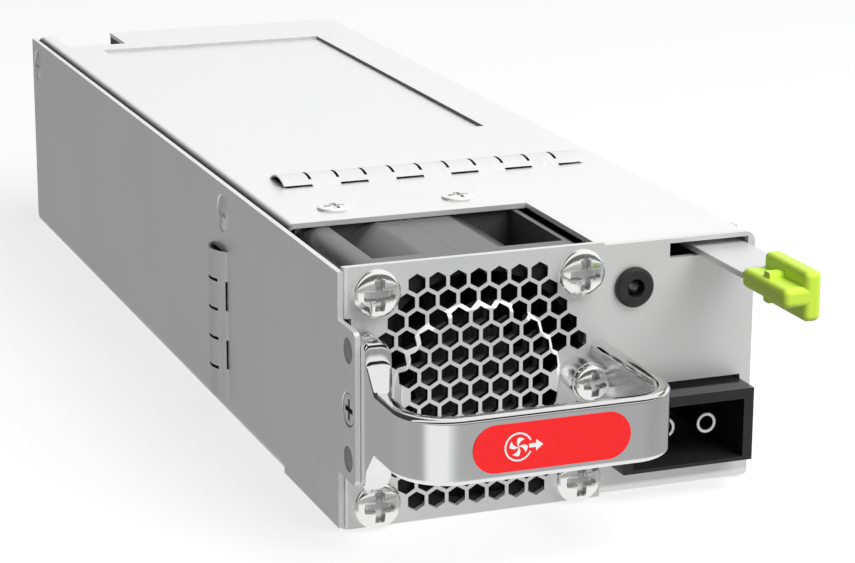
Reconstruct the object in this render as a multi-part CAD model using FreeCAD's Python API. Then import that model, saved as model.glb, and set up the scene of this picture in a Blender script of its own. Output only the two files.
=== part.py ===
"""Slide-in DC power supply module: folded case, axial fan, pull handle, latch lever and power board.

Millimetres. +X is to the right seen from the front, +Y runs back from the front panel, +Z is up.
The origin is the middle of the case's underside.
"""
import FreeCAD
import Part
import math
import os

V = FreeCAD.Vector

# Case of folded sheet
CASE_W = 66.4
CASE_H = 39.2
CASE_D = 191.0
SHEET = 0.8
BEND_R = 2.0
SEAM = 0.05
WALL_DROP = 0.15
WALL_FOOT = 0.4
LIP_H = 6.0
COVER_FLANGE_H = 12.0
COVER_FOOT = 0.2

# Bay that the floor and the cover leave open for the fan
FLOOR_BAY_D = 25.4
COVER_BAY_D = 27.6
COVER_BAY_GAP = 0.45

# Recess and rear notch in the cover
RECESS_LEFT = 10.35
RECESS_RIGHT = 10.8
RECESS_FRONT = 81.5
RECESS_REAR = 18.0
RECESS_DEPTH = 0.6
NOTCH_X = (4.6, 16.4)
NOTCH_D = 12.5

# Front panel
PANEL_T = 1.0
PANEL_BEND = 1.6
PANEL_CORNER = 1.6
PANEL_RISE = 0.4
PANEL_SPLIT_GAP = 1.2
PANEL_SIDE_FLANGE = 8.0
PANEL_FOOT_FLANGE = 9.9
JOGGLE_LAP = 8.0
RELIEF = 1.2

# Hexagon grille and its raised field
HEX_PITCH = 3.19
HEX_WEB = 0.56
HEX_EDGE = 2.0
HEX_SIDE = 0.7
HEX_SCREW_CLEAR = 5.0
HEX_BLANK_R = 5.6
FIELD_R = 13.1
FIELD_RISE = 1.0
FIELD_SLOPE = 0.8

# Fan
FAN_ROOM = 0.1
FAN_DEPTH = 29.4
FAN_SIDE_GAP = 1.29
FAN_SCREW_EDGE = 2.7
FAN_FLANGE = 6.8
FAN_REAR_FLANGE = 1.7
FAN_NOSE = 3.6
FAN_CORNER_LEFT = 4.0
FAN_CORNER_RIGHT = 1.5
FAN_WALL = 1.4
FAN_RAIL_LEFT = 5.1
FAN_RAIL_RIGHT = 2.0
FAN_HOLE_D = 6.0
FAN_HUB_R = 8.2
FAN_HUB_WALL = 1.0
FAN_TIP_GAP = 0.6
FAN_BLADES = 7
FAN_BLADE_T = 1.0
FAN_BLADE_PITCH = (48.0, 32.0)
FAN_BLADE_CHORD = (9.0, 11.0)
FAN_STRUT = 2.4
FAN_BASE = 3.0
SHAFT_R = 1.5
SHAFT_CLEAR = 0.03
BRACKET_GAP = 0.1
BRACKET_FLANGE = 8.0

# Screws
SCREW_R = 1.5
SCREW_HOLE_CLEAR = 0.1
DOME_HEAD_R = 3.4
DOME_HEAD_H = 2.0
FLUSH_HEAD_R = 3.1
FLUSH_SINK = 0.12
FLUSH_SHANK = 2.2
FLUSH_CROWN = 0.45
LOW_HEAD_R = 2.5
LOW_HEAD_H = 0.4
LOW_SHANK = 4.0
CROSS_W = 0.8
CROSS_SHARE = 0.62
WALL_SCREW_FRONT = 56.4
WALL_SCREW_REAR = 4.4
WALL_SCREW_DROP = 5.0
LIP_SCREW_Z = 3.4
COVER_SCREW_SPREAD = 20.6
COVER_SCREW_Y = 34.3

# Handle
HANDLE_RISE = 0.3
HANDLE_T = 2.4
HANDLE_H = 9.6
HANDLE_REACH = 27.3
HANDLE_EDGE = 0.7
HANDLE_R_LEFT = 8.0
HANDLE_R_RIGHT = 7.2
HANDLE_PAST_FAN = 1.81
ROOT_H = 21.8
ROOT_REACH = 9.1
ROOT_W = 4.0
ROOT_CORNER = 1.8
ROOT_EDGE = 0.8
BROW_REACH = 9.4
BROW_H = 16.8
NECK_REACH = 12.8
LUG_R = 2.95
LUG_T = 4.4
LUG_INSET = 4.4
FOOT_SCREW_R = 1.0
FOOT_HEAD_R = 2.8
FOOT_HEAD_H = 1.8
POCKET_CLEAR = 0.2
TAB_REACH = 7.3
TAB_H = 22.8
TAB_RISE = 0.7
TAB_CORNER = 1.0
TAB_SCREW_Y = 4.3
TAB_HEAD_R = 2.6
PEG_SPREAD = 16.2
PEG_R = 1.8
PEG_CLEAR = 0.08
PEG_SINK = 0.1
LABEL_W = 23.6
LABEL_H = 6.9
LABEL_T = 0.12

# Spring finger strips
FINGER_W = 8.0
FINGER_T = 0.25
FINGER_SLIT = 0.4
FINGER_SLIT_REACH = 0.6
FINGER_LIFT = 0.3
TOP_STRIP_LEFT = 8.2
TOP_STRIP_RIGHT = 5.9
TOP_STRIP_Y = 53.0
TOP_STRIP_RISE = 1.3
TOP_STRIP_SEGMENTS = 11
SIDE_STRIP_Y = 58.2
SIDE_STRIP_Z = 3.5
SIDE_STRIP_L = 24.7
SIDE_STRIP_RISE = 1.8
SIDE_STRIP_SEGMENTS = 5

# Status lamp
LED_FROM_SPLIT = 4.86
LED_FROM_TOP = 6.8
LED_BEZEL_R = 3.05
LED_BARREL_R = 2.5
LED_LENS_R = 1.4
LED_PROUD = 1.0
LED_DEPTH = 6.0

# DC input socket
SOCKET_H = 11.4
SOCKET_FROM_SPLIT = 1.6
SOCKET_FROM_RIGHT = 1.86
SOCKET_Z = 10.5
SOCKET_PROUD = 5.0
SOCKET_BODY = 14.0
SOCKET_CAVITY = 8.0
SOCKET_SIDE = 1.6
SOCKET_TOP = 1.6
SOCKET_FLOOR = 0.6
SOCKET_FLANGE = 1.0
SOCKET_CLEAR = 0.1
SOCKET_HEADROOM = 0.65
CONTACT_SPREAD_SHARE = 0.322
CONTACT_SHIFT_SHARE = 0.033
CONTACT_R = 1.6
CONTACT_BORE_R = 1.3
CONTACT_TIP = 2.5
CONTACT_TAIL = 18.0
BUSBAR_W = 5.0
BUSBAR_T = 1.0

# Latch lever and grip
SLOT_W = 13.0
SLOT_H = 2.25
SLOT_FROM_RIGHT = 1.15
SLOT_FROM_TOP = 0.7
LEVER_T = 0.9
LEVER_W = 8.4
LEVER_GAP = 0.3
LEVER_LIFT = 0.35
PIVOT_Y = 34.0
PIVOT_R = 2.0
PIVOT_CLEAR = 0.04
PIVOT_COLLAR_R = 3.4
PIVOT_HEAD = 0.8
PIVOT_PLAY = 0.2
EYE_R = 4.2
HOOK_Y = 10.0
HOOK_L = 7.0
HOOK_FLAT = 1.5
HOOK_REACH = 2.2
HOOK_ROOM = 1.5
GRIP_BACK = 14.5
GRIP_REACH = 27.6
GRIP_PLATE_BACK = 14.9
GRIP_PLATE_W = 2.7
GRIP_PLATE_H = 7.4
GRIP_BLOCK_W = 6.0
GRIP_BLOCK_H = 2.9
GRIP_DROP = 0.3
GRIP_EDGE = 0.9
GRIP_NUB_RISE = 0.8
GRIP_NUB_Y = 20.6
GRIP_NUB_L = 3.0
GRIP_NUB_TOP = 1.4
TONGUE_W = 3.4
TONGUE_L = 9.5
SPRING_T = 0.4
SPRING_TAB = 3.0
SPRING_RUN = 6.0
SPRING_TIP_Y = 18.0

# Board and what stands on it
BOARD_T = 1.6
BOARD_LIFT = 3.2
BOARD_SIDE = 3.2
BOARD_FRONT = 33.0
BOARD_REAR = 15.0
STANDOFF_R = 2.75
STANDOFF_SIDE = 6.0
STANDOFF_END = 9.0
BOARD_HEAD_R = 2.75
BOARD_HEAD_H = 1.8
FILM_T = 0.3
SINK_BASE = 2.0
SINK_FIN = 1.0
SINK_FINS = 4
SINK_GAP = 2.4
SINK_H = 24.0
SINK_X = 9.2
SINK_FRONT = 52.0
SINK_REAR = 43.0
CORE_GAP = 2.3
CORE_H = 22.0
CORE_LEG = 5.0
CORE_FRONT = 88.0
CORE_TO_CHOKE = 8.0
CHOKE_INSET = 4.8
CHOKE_D = 20.0
CHOKE_H = 18.0
CHOKE_REAR = 35.0
TOROID_R = 9.5
TOROID_HOLE_R = 4.2
TOROID_H = 9.0
TOROID_FROM_RIGHT = 22.4
TOROID_Y = 58.0
INPUT_CAP_R = 5.0
INPUT_CAP_H = 22.0
INPUT_CAPS = 3
OUTPUT_CAP_R = 4.0
OUTPUT_CAP_H = 16.0
OUTPUT_CAP_REAR = 30.0
CAP_GAP = 1.2
CAP_FROM_RIGHT = 11.4
CAP_Y = 72.0
LEAD_R = 1.0
LEAD_ARM = 12.0
LEAD_RUN = 10.0

# Rear end
FRAME_T = 1.6
FRAME_INSET = 0.2
CONNECTOR_FROM_LEFT = 21.2
CONNECTOR_FROM_RIGHT = 13.2
CONNECTOR_H = 10.8
CONNECTOR_D = 21.6
CONNECTOR_CLEAR = 0.1
CONNECTOR_SLOTS = 8
CONNECTOR_SLOT_W = 1.4
CONNECTOR_SLOT_H = 8.0
CONNECTOR_SLOT_D = 12.0
BLADE_T = 0.8
BLADE_L = 9.0
VENT_W = 2.2
VENT_PITCH = 4.0
VENT_FROM_NOTCH = 8.6
VENT_FROM_RIGHT = 3.2
VENT_FOOT = 4.1
VENT_HEAD = 3.65

# Places worked out from the sizes above
LEFT = -CASE_W / 2
RIGHT = CASE_W / 2
FRONT = -CASE_D / 2
REAR = CASE_D / 2
WALL_IN = LEFT + SHEET
WALL_TOP = CASE_H - WALL_DROP
FLANGE_OUT = WALL_IN + SEAM
FLANGE_IN = FLANGE_OUT + SHEET
COVER_WALL_IN = RIGHT - SHEET
LIP_OUT = COVER_WALL_IN - SEAM
COVER_UNDER = CASE_H - SHEET
PANEL_BACK = FRONT + PANEL_T
FAN_SIZE = CASE_H - 2 * (SHEET + FAN_ROOM)
FAN_SCREW_PITCH = FAN_SIZE - 2 * FAN_SCREW_EDGE
FAN_BORE_R = FAN_SIZE / 2 - FAN_WALL
FAN_X = FLANGE_IN + FAN_SIDE_GAP + FAN_SIZE / 2
FAN_Z = CASE_H / 2
FAN_FRONT = PANEL_BACK
FAN_REAR = FAN_FRONT + FAN_DEPTH
PANEL_SPLIT = FAN_X + FAN_SIZE / 2 + PANEL_SPLIT_GAP
BRACKET_Y = FAN_REAR + BRACKET_GAP
HANDLE_Z = FAN_Z + HANDLE_RISE
TAB_Z = HANDLE_Z + TAB_RISE
HANDLE_LEFT = WALL_IN + SEAM
HANDLE_RIGHT = FAN_X + FAN_SIZE / 2 + HANDLE_PAST_FAN
FOOT_SCREW_X = HANDLE_RIGHT - LUG_INSET
LUG_FACE = FRONT - LUG_T
LED_X = PANEL_SPLIT + LED_FROM_SPLIT
LED_Z = CASE_H - LED_FROM_TOP
SOCKET_RIGHT = RIGHT - SOCKET_FROM_RIGHT
SOCKET_LEFT = PANEL_SPLIT + SOCKET_FROM_SPLIT
SOCKET_W = SOCKET_RIGHT - SOCKET_LEFT
CONTACT_SPREAD = SOCKET_W * CONTACT_SPREAD_SHARE
CONTACT_X = (SOCKET_LEFT + SOCKET_RIGHT) / 2 + SOCKET_W * CONTACT_SHIFT_SHARE
SLOT_RIGHT = RIGHT - SLOT_FROM_RIGHT
SLOT_LEFT = SLOT_RIGHT - SLOT_W
SLOT_TOP = CASE_H - SLOT_FROM_TOP
SLOT_BOTTOM = SLOT_TOP - SLOT_H
LEVER_BOTTOM = SLOT_BOTTOM + LEVER_LIFT
LEVER_TOP = LEVER_BOTTOM + LEVER_T
LEVER_RIGHT = SLOT_RIGHT - LEVER_GAP
LEVER_LEFT = LEVER_RIGHT - LEVER_W
PIVOT_X = (LEVER_LEFT + LEVER_RIGHT) / 2
FLOOR_TOP = SHEET
BOARD_BOTTOM = FLOOR_TOP + BOARD_LIFT
BOARD_TOP = BOARD_BOTTOM + BOARD_T
BAY_Y = REAR - NOTCH_D
NOTCH_LEFT = LEFT + NOTCH_X[0]
NOTCH_RIGHT = LEFT + NOTCH_X[1]
CONNECTOR_BACK = REAR - 2 * FRAME_INSET
CONNECTOR_LEFT = LEFT + CONNECTOR_FROM_LEFT
CONNECTOR_RIGHT = RIGHT - CONNECTOR_FROM_RIGHT
SINK_RIGHT = LEFT + SINK_X + SINK_FINS * SINK_FIN + (SINK_FINS - 1) * SINK_GAP
CAP_X = RIGHT - CAP_FROM_RIGHT
CORE_LEFT = SINK_RIGHT + CORE_GAP
CORE_RIGHT = CAP_X - INPUT_CAP_R - CORE_GAP
CHOKE_FRONT = REAR - CHOKE_REAR - CHOKE_D

X_AXIS = V(1, 0, 0)
Y_AXIS = V(0, 1, 0)
Z_AXIS = V(0, 0, 1)


def box(x0, x1, y0, y1, z0, z1):
    """A block between two corners."""
    return Part.makeBox(x1 - x0, y1 - y0, z1 - z0, V(x0, y0, z0))


def rod(radius, start, end):
    """A cylinder from one point to another."""
    run = end - start
    return Part.makeCylinder(radius, run.Length, start, run)


def taper(start_radius, end_radius, start, end):
    """A cone frustum from one point to another."""
    run = end - start
    return Part.makeCone(start_radius, end_radius, run.Length, start, run)


def prism(points, run):
    """A closed outline pushed along a vector."""
    return Part.Face(Part.makePolygon(points + points[:1])).extrude(run)


def merge(solids):
    """One solid from several that meet."""
    return solids[0].multiFuse(solids[1:]).removeSplitter()


def cut(solid, tools):
    """A solid less several others."""
    return solid.cut(Part.makeCompound(tools))


def lines_at(solid, direction, spots):
    """The straight edges along a direction that pass through given points."""
    found = []
    for edge in solid.Edges:
        if not isinstance(edge.Curve, Part.Line):
            continue
        if abs(edge.tangentAt(edge.FirstParameter).dot(direction)) < 0.999:
            continue
        for spot in spots:
            offset = edge.CenterOfMass - spot
            if (offset - direction * offset.dot(direction)).Length < 1e-4:
                found.append(edge)
    return found


def rounded(solid, radius, direction, spots):
    """A solid with the edges through given points rounded."""
    return solid.makeFillet(radius, lines_at(solid, direction, spots))


def cross_recess(centre, inward, across, size, depth):
    """The two crossed slots of a screw head, cut inward from its top."""
    other = inward.cross(across)
    arms = []
    for long_way, short_way in ((across, other), (other, across)):
        corner = centre - long_way * (size / 2) - short_way * (CROSS_W / 2)
        points = [corner, corner + long_way * size, corner + long_way * size + short_way * CROSS_W,
                  corner + short_way * CROSS_W]
        arms.append(prism(points, inward * depth))
    return merge(arms)


def dome(seat, inward, radius, height):
    """A ball's cap that stands on a seat."""
    ball_r = (radius ** 2 + height ** 2) / (2 * height)
    ball = Part.makeSphere(ball_r, seat - inward * (height - ball_r))
    return ball.common(rod(radius + 1, seat - inward * (height + 1), seat))


def dome_screw(seat, inward, across, head_r, head_h, shank_r, shank_l):
    """A domed cross-head screw whose head stands on a seat and whose shank runs inward."""
    head = dome(seat, inward, head_r, head_h)
    shank = rod(shank_r, seat, seat + inward * shank_l)
    top = seat - inward * (head_h + 1)
    recess = cross_recess(top, inward, across, 2 * head_r * CROSS_SHARE, 1 + head_h * CROSS_SHARE)
    return merge([head, shank]).cut(recess)


def flat_screw(seat, head_r, head_h, shank_r, shank_l):
    """An upright screw with a flat head, crossed slots in it and its shank below the seat."""
    top = seat + Z_AXIS * head_h
    recess = cross_recess(top + Z_AXIS, Z_AXIS * -1, X_AXIS, 2 * head_r * CROSS_SHARE, 1 + head_h / 2)
    return merge([rod(head_r, seat, top), rod(shank_r, seat, seat - Z_AXIS * shank_l)]).cut(recess)


def flush_screw(face, inward, across, head_r, wall, shank_r, shank_l):
    """A countersunk cross-head screw sunk a little below the face of the sheet that it holds."""
    top = face + inward * FLUSH_SINK
    neck = face + inward * wall
    head = taper(head_r - FLUSH_SINK, head_r - wall, top, neck)
    shank = rod(shank_r, neck, neck + inward * shank_l)
    recess = cross_recess(top - inward, inward, across, 2 * head_r * CROSS_SHARE, 1 + wall / 2)
    return merge([head, shank]).cut(recess)


def countersink(face, inward, head_r, wall):
    """The cone that a flush screw's head lies in."""
    return taper(head_r + 1, head_r - wall, face - inward, face + inward * wall)


def wall_screw_places():
    """Face points and inward directions of the flush screws in the left wall and the cover's right wall."""
    rows = (FRONT + WALL_SCREW_FRONT, REAR - WALL_SCREW_REAR)
    left = [(V(LEFT, y, CASE_H - WALL_SCREW_DROP), X_AXIS) for y in rows]
    right = [(V(RIGHT, y, LIP_SCREW_Z), X_AXIS * -1) for y in rows]
    return left, right


def fan_corners():
    """The four screw places round the fan, as x and z."""
    half = FAN_SCREW_PITCH / 2
    return [(FAN_X + a * half, FAN_Z + b * half) for a in (-1, 1) for b in (-1, 1)]


def peg_places():
    """Where the handle's two locating pegs show in the outer face of the wall's tab."""
    return [V(LEFT, FRONT - TAB_SCREW_Y, TAB_Z + side * PEG_SPREAD / 2) for side in (-1, 1)]


def cover_screw_xs():
    return [FAN_X - COVER_SCREW_SPREAD / 2, FAN_X + COVER_SCREW_SPREAD / 2]


def standoff_places():
    """The four board fixings, as x and y."""
    xs = (LEFT + BOARD_SIDE + STANDOFF_SIDE, RIGHT - BOARD_SIDE - STANDOFF_SIDE)
    ys = (FRONT + BOARD_FRONT + STANDOFF_END, REAR - BOARD_REAR - STANDOFF_END)
    return [(x, y) for x in xs for y in ys]


def base_tray():
    bay_rear = FRONT + FLOOR_BAY_D
    lip_in = LIP_OUT - SHEET
    outline = [(LEFT, WALL_TOP), (LEFT, 0), (LIP_OUT, 0), (LIP_OUT, LIP_H),
               (lip_in, LIP_H), (lip_in, SHEET), (WALL_IN, SHEET), (WALL_IN, WALL_TOP)]
    tray = prism([V(x, bay_rear, z) for x, z in outline], V(0, REAR - bay_rear, 0))
    tray = rounded(tray, BEND_R, Y_AXIS, [V(LEFT, 0, 0), V(LIP_OUT, 0, 0)])
    tray = rounded(tray, BEND_R - SHEET, Y_AXIS, [V(WALL_IN, 0, SHEET), V(lip_in, 0, SHEET)])

    front_wall = box(LEFT, WALL_IN, FRONT, bay_rear, WALL_FOOT, WALL_TOP)
    tab_bottom = TAB_Z - TAB_H / 2
    tab_top = TAB_Z + TAB_H / 2
    tab_front = FRONT - TAB_REACH
    tab = box(LEFT, WALL_IN, tab_front, FRONT, tab_bottom, tab_top)
    tab = rounded(tab, TAB_CORNER, X_AXIS, [V(0, tab_front, tab_bottom), V(0, tab_front, tab_top)])

    # The floor steps up in front and laps over the front panel's foot flange
    step = FRONT + PANEL_FOOT_FLANGE + SEAM
    lap = PANEL_T + SEAM
    joggle = [(bay_rear, 0), (step, 0), (step, lap), (step - JOGGLE_LAP, lap),
              (step - JOGGLE_LAP, lap + SHEET), (step + SHEET, lap + SHEET), (step + SHEET, SHEET),
              (bay_rear, SHEET)]
    floor = prism([V(PANEL_SPLIT, y, z) for y, z in joggle], V(lip_in - PANEL_SPLIT, 0, 0))

    tools = []
    for face, inward in wall_screw_places()[0]:
        tools.append(countersink(face, inward, FLUSH_HEAD_R, SHEET))
    for face, inward in wall_screw_places()[1]:
        tools.append(rod(SCREW_R, V(lip_in - 1, face.y, face.z), V(LIP_OUT + 1, face.y, face.z)))
    screw_y = FRONT - TAB_SCREW_Y
    tools.append(countersink(V(LEFT, screw_y, HANDLE_Z), X_AXIS, TAB_HEAD_R, SHEET))
    for place in peg_places():
        tools.append(rod(PEG_R + PEG_CLEAR, place - X_AXIS, place + X_AXIS * (SHEET + 1)))
    return cut(merge([tray, front_wall, tab, floor]), tools)


def top_cover():
    start = PANEL_BACK + SEAM
    flange_foot = CASE_H - COVER_FLANGE_H
    outline = [(FLANGE_OUT, flange_foot), (FLANGE_OUT, CASE_H), (RIGHT, CASE_H), (RIGHT, COVER_FOOT),
               (COVER_WALL_IN, COVER_FOOT), (COVER_WALL_IN, COVER_UNDER), (FLANGE_IN, COVER_UNDER),
               (FLANGE_IN, flange_foot)]
    cover = prism([V(x, start, z) for x, z in outline], V(0, REAR - start, 0))
    cover = rounded(cover, BEND_R, Y_AXIS, [V(FLANGE_OUT, 0, CASE_H), V(RIGHT, 0, CASE_H)])
    inner_bends = [V(FLANGE_IN, 0, COVER_UNDER), V(COVER_WALL_IN, 0, COVER_UNDER)]
    cover = rounded(cover, BEND_R - SHEET, Y_AXIS, inner_bends)

    # The recess is pressed down, so the sheet under it hangs lower by its depth
    x0, x1 = LEFT + RECESS_LEFT, RIGHT - RECESS_RIGHT
    y0, y1 = FRONT + RECESS_FRONT, REAR - RECESS_REAR
    pan = box(x0 - SHEET, x1 + SHEET, y0 - SHEET, y1 + SHEET, COVER_UNDER - RECESS_DEPTH, CASE_H)
    recess = box(x0, x1, y0, y1, CASE_H - RECESS_DEPTH, CASE_H + 1)

    bay_right = FAN_X + FAN_SIZE / 2 + COVER_BAY_GAP
    fan_bay = box(LEFT, bay_right, FRONT, FRONT + COVER_BAY_D, flange_foot - 1, CASE_H + 1)
    notch = box(NOTCH_LEFT, NOTCH_RIGHT, BAY_Y, REAR + 1, COVER_UNDER - 1, CASE_H + 1)
    hook_front = FRONT + HOOK_Y
    window = box(COVER_WALL_IN - 1, RIGHT + 1, hook_front - HOOK_ROOM, hook_front + HOOK_L + HOOK_ROOM / 2,
                 LEVER_BOTTOM - HOOK_ROOM / 2, LEVER_TOP + HOOK_ROOM / 2)
    tools = [recess, fan_bay, notch, window]
    for x in cover_screw_xs():
        place = V(x, FRONT + COVER_SCREW_Y, COVER_UNDER - 1)
        tools.append(rod(SCREW_R + SCREW_HOLE_CLEAR, place, place + Z_AXIS * (SHEET + 2)))
    for face, inward in wall_screw_places()[0]:
        tools.append(rod(SCREW_R, V(FLANGE_OUT - 1, face.y, face.z), V(FLANGE_IN + 1, face.y, face.z)))
    for face, inward in wall_screw_places()[1]:
        tools.append(countersink(face, inward, FLUSH_HEAD_R, SHEET))
    return cut(merge([cover, pan]), tools)


def hexagons():
    """Upright hexagon prisms in rows that lengthen towards the middle, less those at screws and handle."""
    row_step = HEX_PITCH * math.sqrt(3) / 2
    corner_r = (HEX_PITCH - HEX_WEB) / math.sqrt(3)
    half = FAN_SIZE / 2
    reach = half - HEX_SIDE
    middle = int((half - HEX_EDGE) / row_step)
    turns = [math.radians(90 + 60 * k) for k in range(6)]
    start = FRONT - FIELD_RISE - 1
    cells = []
    for row in range(-middle, middle + 1):
        count = 2 * middle + 1 - abs(row)
        z = row * row_step
        for index in range(count):
            x = (index - (count - 1) / 2) * HEX_PITCH
            if abs(x) > reach or math.hypot(abs(x) - reach, z) < HEX_BLANK_R:
                continue
            spread = FAN_SCREW_PITCH / 2
            if math.hypot(abs(x) - spread, abs(z) - spread) < HEX_SCREW_CLEAR:
                continue
            points = [V(FAN_X + x + corner_r * math.cos(t), start, FAN_Z + z + corner_r * math.sin(t))
                      for t in turns]
            cells.append(prism(points, V(0, FIELD_RISE + PANEL_T + 2, 0)))
    return cells


def front_panel():
    left = FLANGE_OUT
    top_right = CASE_H
    plate = box(left, PANEL_SPLIT, FRONT, PANEL_BACK, 0, CASE_H + PANEL_RISE)
    plate = rounded(plate, PANEL_T * 0.7, Z_AXIS, [V(left, FRONT, 0)])
    flange = box(left, left + SHEET, FRONT + PANEL_T / 2, FRONT + PANEL_SIDE_FLANGE,
                 BEND_R, CASE_H - BEND_R)

    # The right part is folded under at the foot
    foot = FRONT + PANEL_FOOT_FLANGE
    outline = [(FRONT, top_right), (FRONT, 0), (foot, 0), (foot, PANEL_T), (PANEL_BACK, PANEL_T),
               (PANEL_BACK, top_right)]
    folded = prism([V(PANEL_SPLIT, y, z) for y, z in outline], V(RIGHT - PANEL_SPLIT, 0, 0))
    folded = rounded(folded, PANEL_BEND, X_AXIS, [V(0, FRONT, 0)])
    folded = rounded(folded, PANEL_BEND - PANEL_T, X_AXIS, [V(0, PANEL_BACK, PANEL_T)])
    folded = rounded(folded, PANEL_CORNER, Y_AXIS, [V(RIGHT, 0, top_right)])
    cover_room = box(LIP_OUT - SHEET - SEAM, RIGHT + 1, PANEL_BACK, foot + 1, -1, PANEL_BEND + 1)

    # Raised round field of the grille, turned about the fan's axis
    inner_base = FIELD_R - FIELD_SLOPE / 2
    inner_top = inner_base - FIELD_SLOPE
    section = [(0, -FIELD_RISE), (FIELD_R - FIELD_SLOPE, -FIELD_RISE), (FIELD_R, 0), (FIELD_R, PANEL_T),
               (inner_base, PANEL_T), (inner_top, PANEL_T - FIELD_RISE), (0, PANEL_T - FIELD_RISE)]
    points = [V(FAN_X + r, FRONT + y, FAN_Z) for r, y in section]
    centre = V(FAN_X, FRONT, FAN_Z)
    field = Part.Face(Part.makePolygon(points + points[:1])).revolve(centre, Y_AXIS, 360)
    hole = rod(FIELD_R, centre - Y_AXIS, centre + Y_AXIS * (PANEL_T + 1))
    panel = merge([plate.cut(hole), field, flange, folded.cut(cover_room)])

    near, far = FRONT - 1, PANEL_BACK + 1
    tools = hexagons()
    for x, z in fan_corners():
        tools.append(rod(SCREW_R + SCREW_HOLE_CLEAR, V(x, near, z), V(x, far, z)))
    tools.append(rod(FOOT_SCREW_R, V(FOOT_SCREW_X, near, HANDLE_Z), V(FOOT_SCREW_X, far, HANDLE_Z)))
    tools.append(rod(LED_BARREL_R, V(LED_X, near, LED_Z), V(LED_X, far, LED_Z)))
    tools.append(box(SLOT_LEFT, SLOT_RIGHT, near, far, SLOT_BOTTOM, SLOT_TOP))
    half_h = SOCKET_H / 2 + SOCKET_CLEAR
    tools.append(box(SOCKET_LEFT - SOCKET_CLEAR, SOCKET_RIGHT + SOCKET_CLEAR, near, far,
                     SOCKET_Z - half_h, SOCKET_Z + SOCKET_H / 2 + SOCKET_HEADROOM))
    for side in (-1, 1):
        z = TAB_Z + side * (TAB_H - RELIEF) / 2
        tools.append(box(left - 1, left + RELIEF, near, far, z - RELIEF / 2, z + RELIEF / 2))
    return cut(panel, tools)


def root_section(y, width, height, inner_r):
    """Upright rounded rectangle across the handle's left root, softer on its inner side."""
    x0, x1 = HANDLE_LEFT, HANDLE_LEFT + width
    z0, z1 = HANDLE_Z - height / 2, HANDLE_Z + height / 2
    outer_r = min(ROOT_EDGE, inner_r)
    edges = []
    corners = [(x0, z0, 1, 1, outer_r), (x1, z0, -1, 1, inner_r), (x1, z1, -1, -1, inner_r),
               (x0, z1, 1, -1, outer_r)]
    ends = []
    for x, z, right, up, r in corners:
        along = V(x + right * r, y, z)
        upright = V(x, y, z + up * r)
        bow = V(x + right * r * (1 - math.sqrt(0.5)), y, z + up * r * (1 - math.sqrt(0.5)))
        ends.append((upright, bow, along) if right == up else (along, bow, upright))
    for index, (first, bow, last) in enumerate(ends):
        edges.append(Part.Arc(first, bow, last).toShape())
        edges.append(Part.LineSegment(last, ends[(index + 1) % 4][0]).toShape())
    return Part.Wire(edges)


def handle():
    """Strap swept round three sides, with a tall pegged root on the left and a round boss on the right."""
    left = HANDLE_LEFT + HANDLE_T / 2
    right = HANDLE_RIGHT - HANDLE_T / 2
    front = FRONT - HANDLE_REACH + HANDLE_T / 2
    neck = FRONT - NECK_REACH
    r_left = HANDLE_R_LEFT - HANDLE_T / 2
    r_right = HANDLE_R_RIGHT - HANDLE_T / 2
    diagonal = math.sqrt(0.5)
    spots = {
        "start": (left, neck), "bend_1": (left, front + r_left),
        "mid_1": (left + r_left * (1 - diagonal), front + r_left * (1 - diagonal)),
        "end_1": (left + r_left, front),
        "bend_2": (right - r_right, front),
        "mid_2": (right - r_right * (1 - diagonal), front + r_right * (1 - diagonal)),
        "end_2": (right, front + r_right), "foot": (right, FRONT),
    }
    at = {name: V(x, y, HANDLE_Z) for name, (x, y) in spots.items()}
    path = Part.Wire([
        Part.LineSegment(at["start"], at["bend_1"]).toShape(),
        Part.Arc(at["bend_1"], at["mid_1"], at["end_1"]).toShape(),
        Part.LineSegment(at["end_1"], at["bend_2"]).toShape(),
        Part.Arc(at["bend_2"], at["mid_2"], at["end_2"]).toShape(),
        Part.LineSegment(at["end_2"], at["foot"]).toShape(),
    ])
    section = box(left - HANDLE_T / 2, left + HANDLE_T / 2, neck, neck + 1,
                  HANDLE_Z - HANDLE_H / 2, HANDLE_Z + HANDLE_H / 2)
    corners = [V(left + a * HANDLE_T / 2, 0, HANDLE_Z + b * HANDLE_H / 2)
               for a in (-1, 1) for b in (-1, 1)]
    section = rounded(section, HANDLE_EDGE, Y_AXIS, corners)
    profile = [face for face in section.Faces if abs(face.CenterOfMass.y - neck) < 1e-6][0].OuterWire
    strap = path.makePipeShell([profile], True, False)

    sections = [
        root_section(FRONT, ROOT_W, ROOT_H, ROOT_CORNER),
        root_section(FRONT - ROOT_REACH, ROOT_W, ROOT_H, ROOT_CORNER),
        root_section(FRONT - BROW_REACH, ROOT_W, BROW_H, ROOT_CORNER),
        root_section(neck, HANDLE_T, HANDLE_H, HANDLE_EDGE),
    ]
    root = Part.makeLoft(sections, True, True)
    pegs = [rod(PEG_R, place + X_AXIS * PEG_SINK, V(HANDLE_LEFT + ROOT_EDGE, place.y, place.z))
            for place in peg_places()]

    foot = V(FOOT_SCREW_X, FRONT, HANDLE_Z)
    lug = rod(LUG_R, foot, foot - Y_AXIS * LUG_T)
    pocket_top = LUG_T + FOOT_HEAD_H + POCKET_CLEAR
    pocket = rod(FOOT_HEAD_R + POCKET_CLEAR, foot - Y_AXIS * LUG_T, foot - Y_AXIS * pocket_top)
    foot_hole = rod(FOOT_SCREW_R, foot + Y_AXIS, foot - Y_AXIS * (LUG_T + 1))
    screw_y = FRONT - TAB_SCREW_Y
    side_start = V(HANDLE_LEFT - 1, screw_y, HANDLE_Z)
    side_hole = rod(SCREW_R, side_start, side_start + X_AXIS * (ROOT_W + 2))
    return cut(merge([strap, root, lug] + pegs), [pocket, foot_hole, side_hole])


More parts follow.
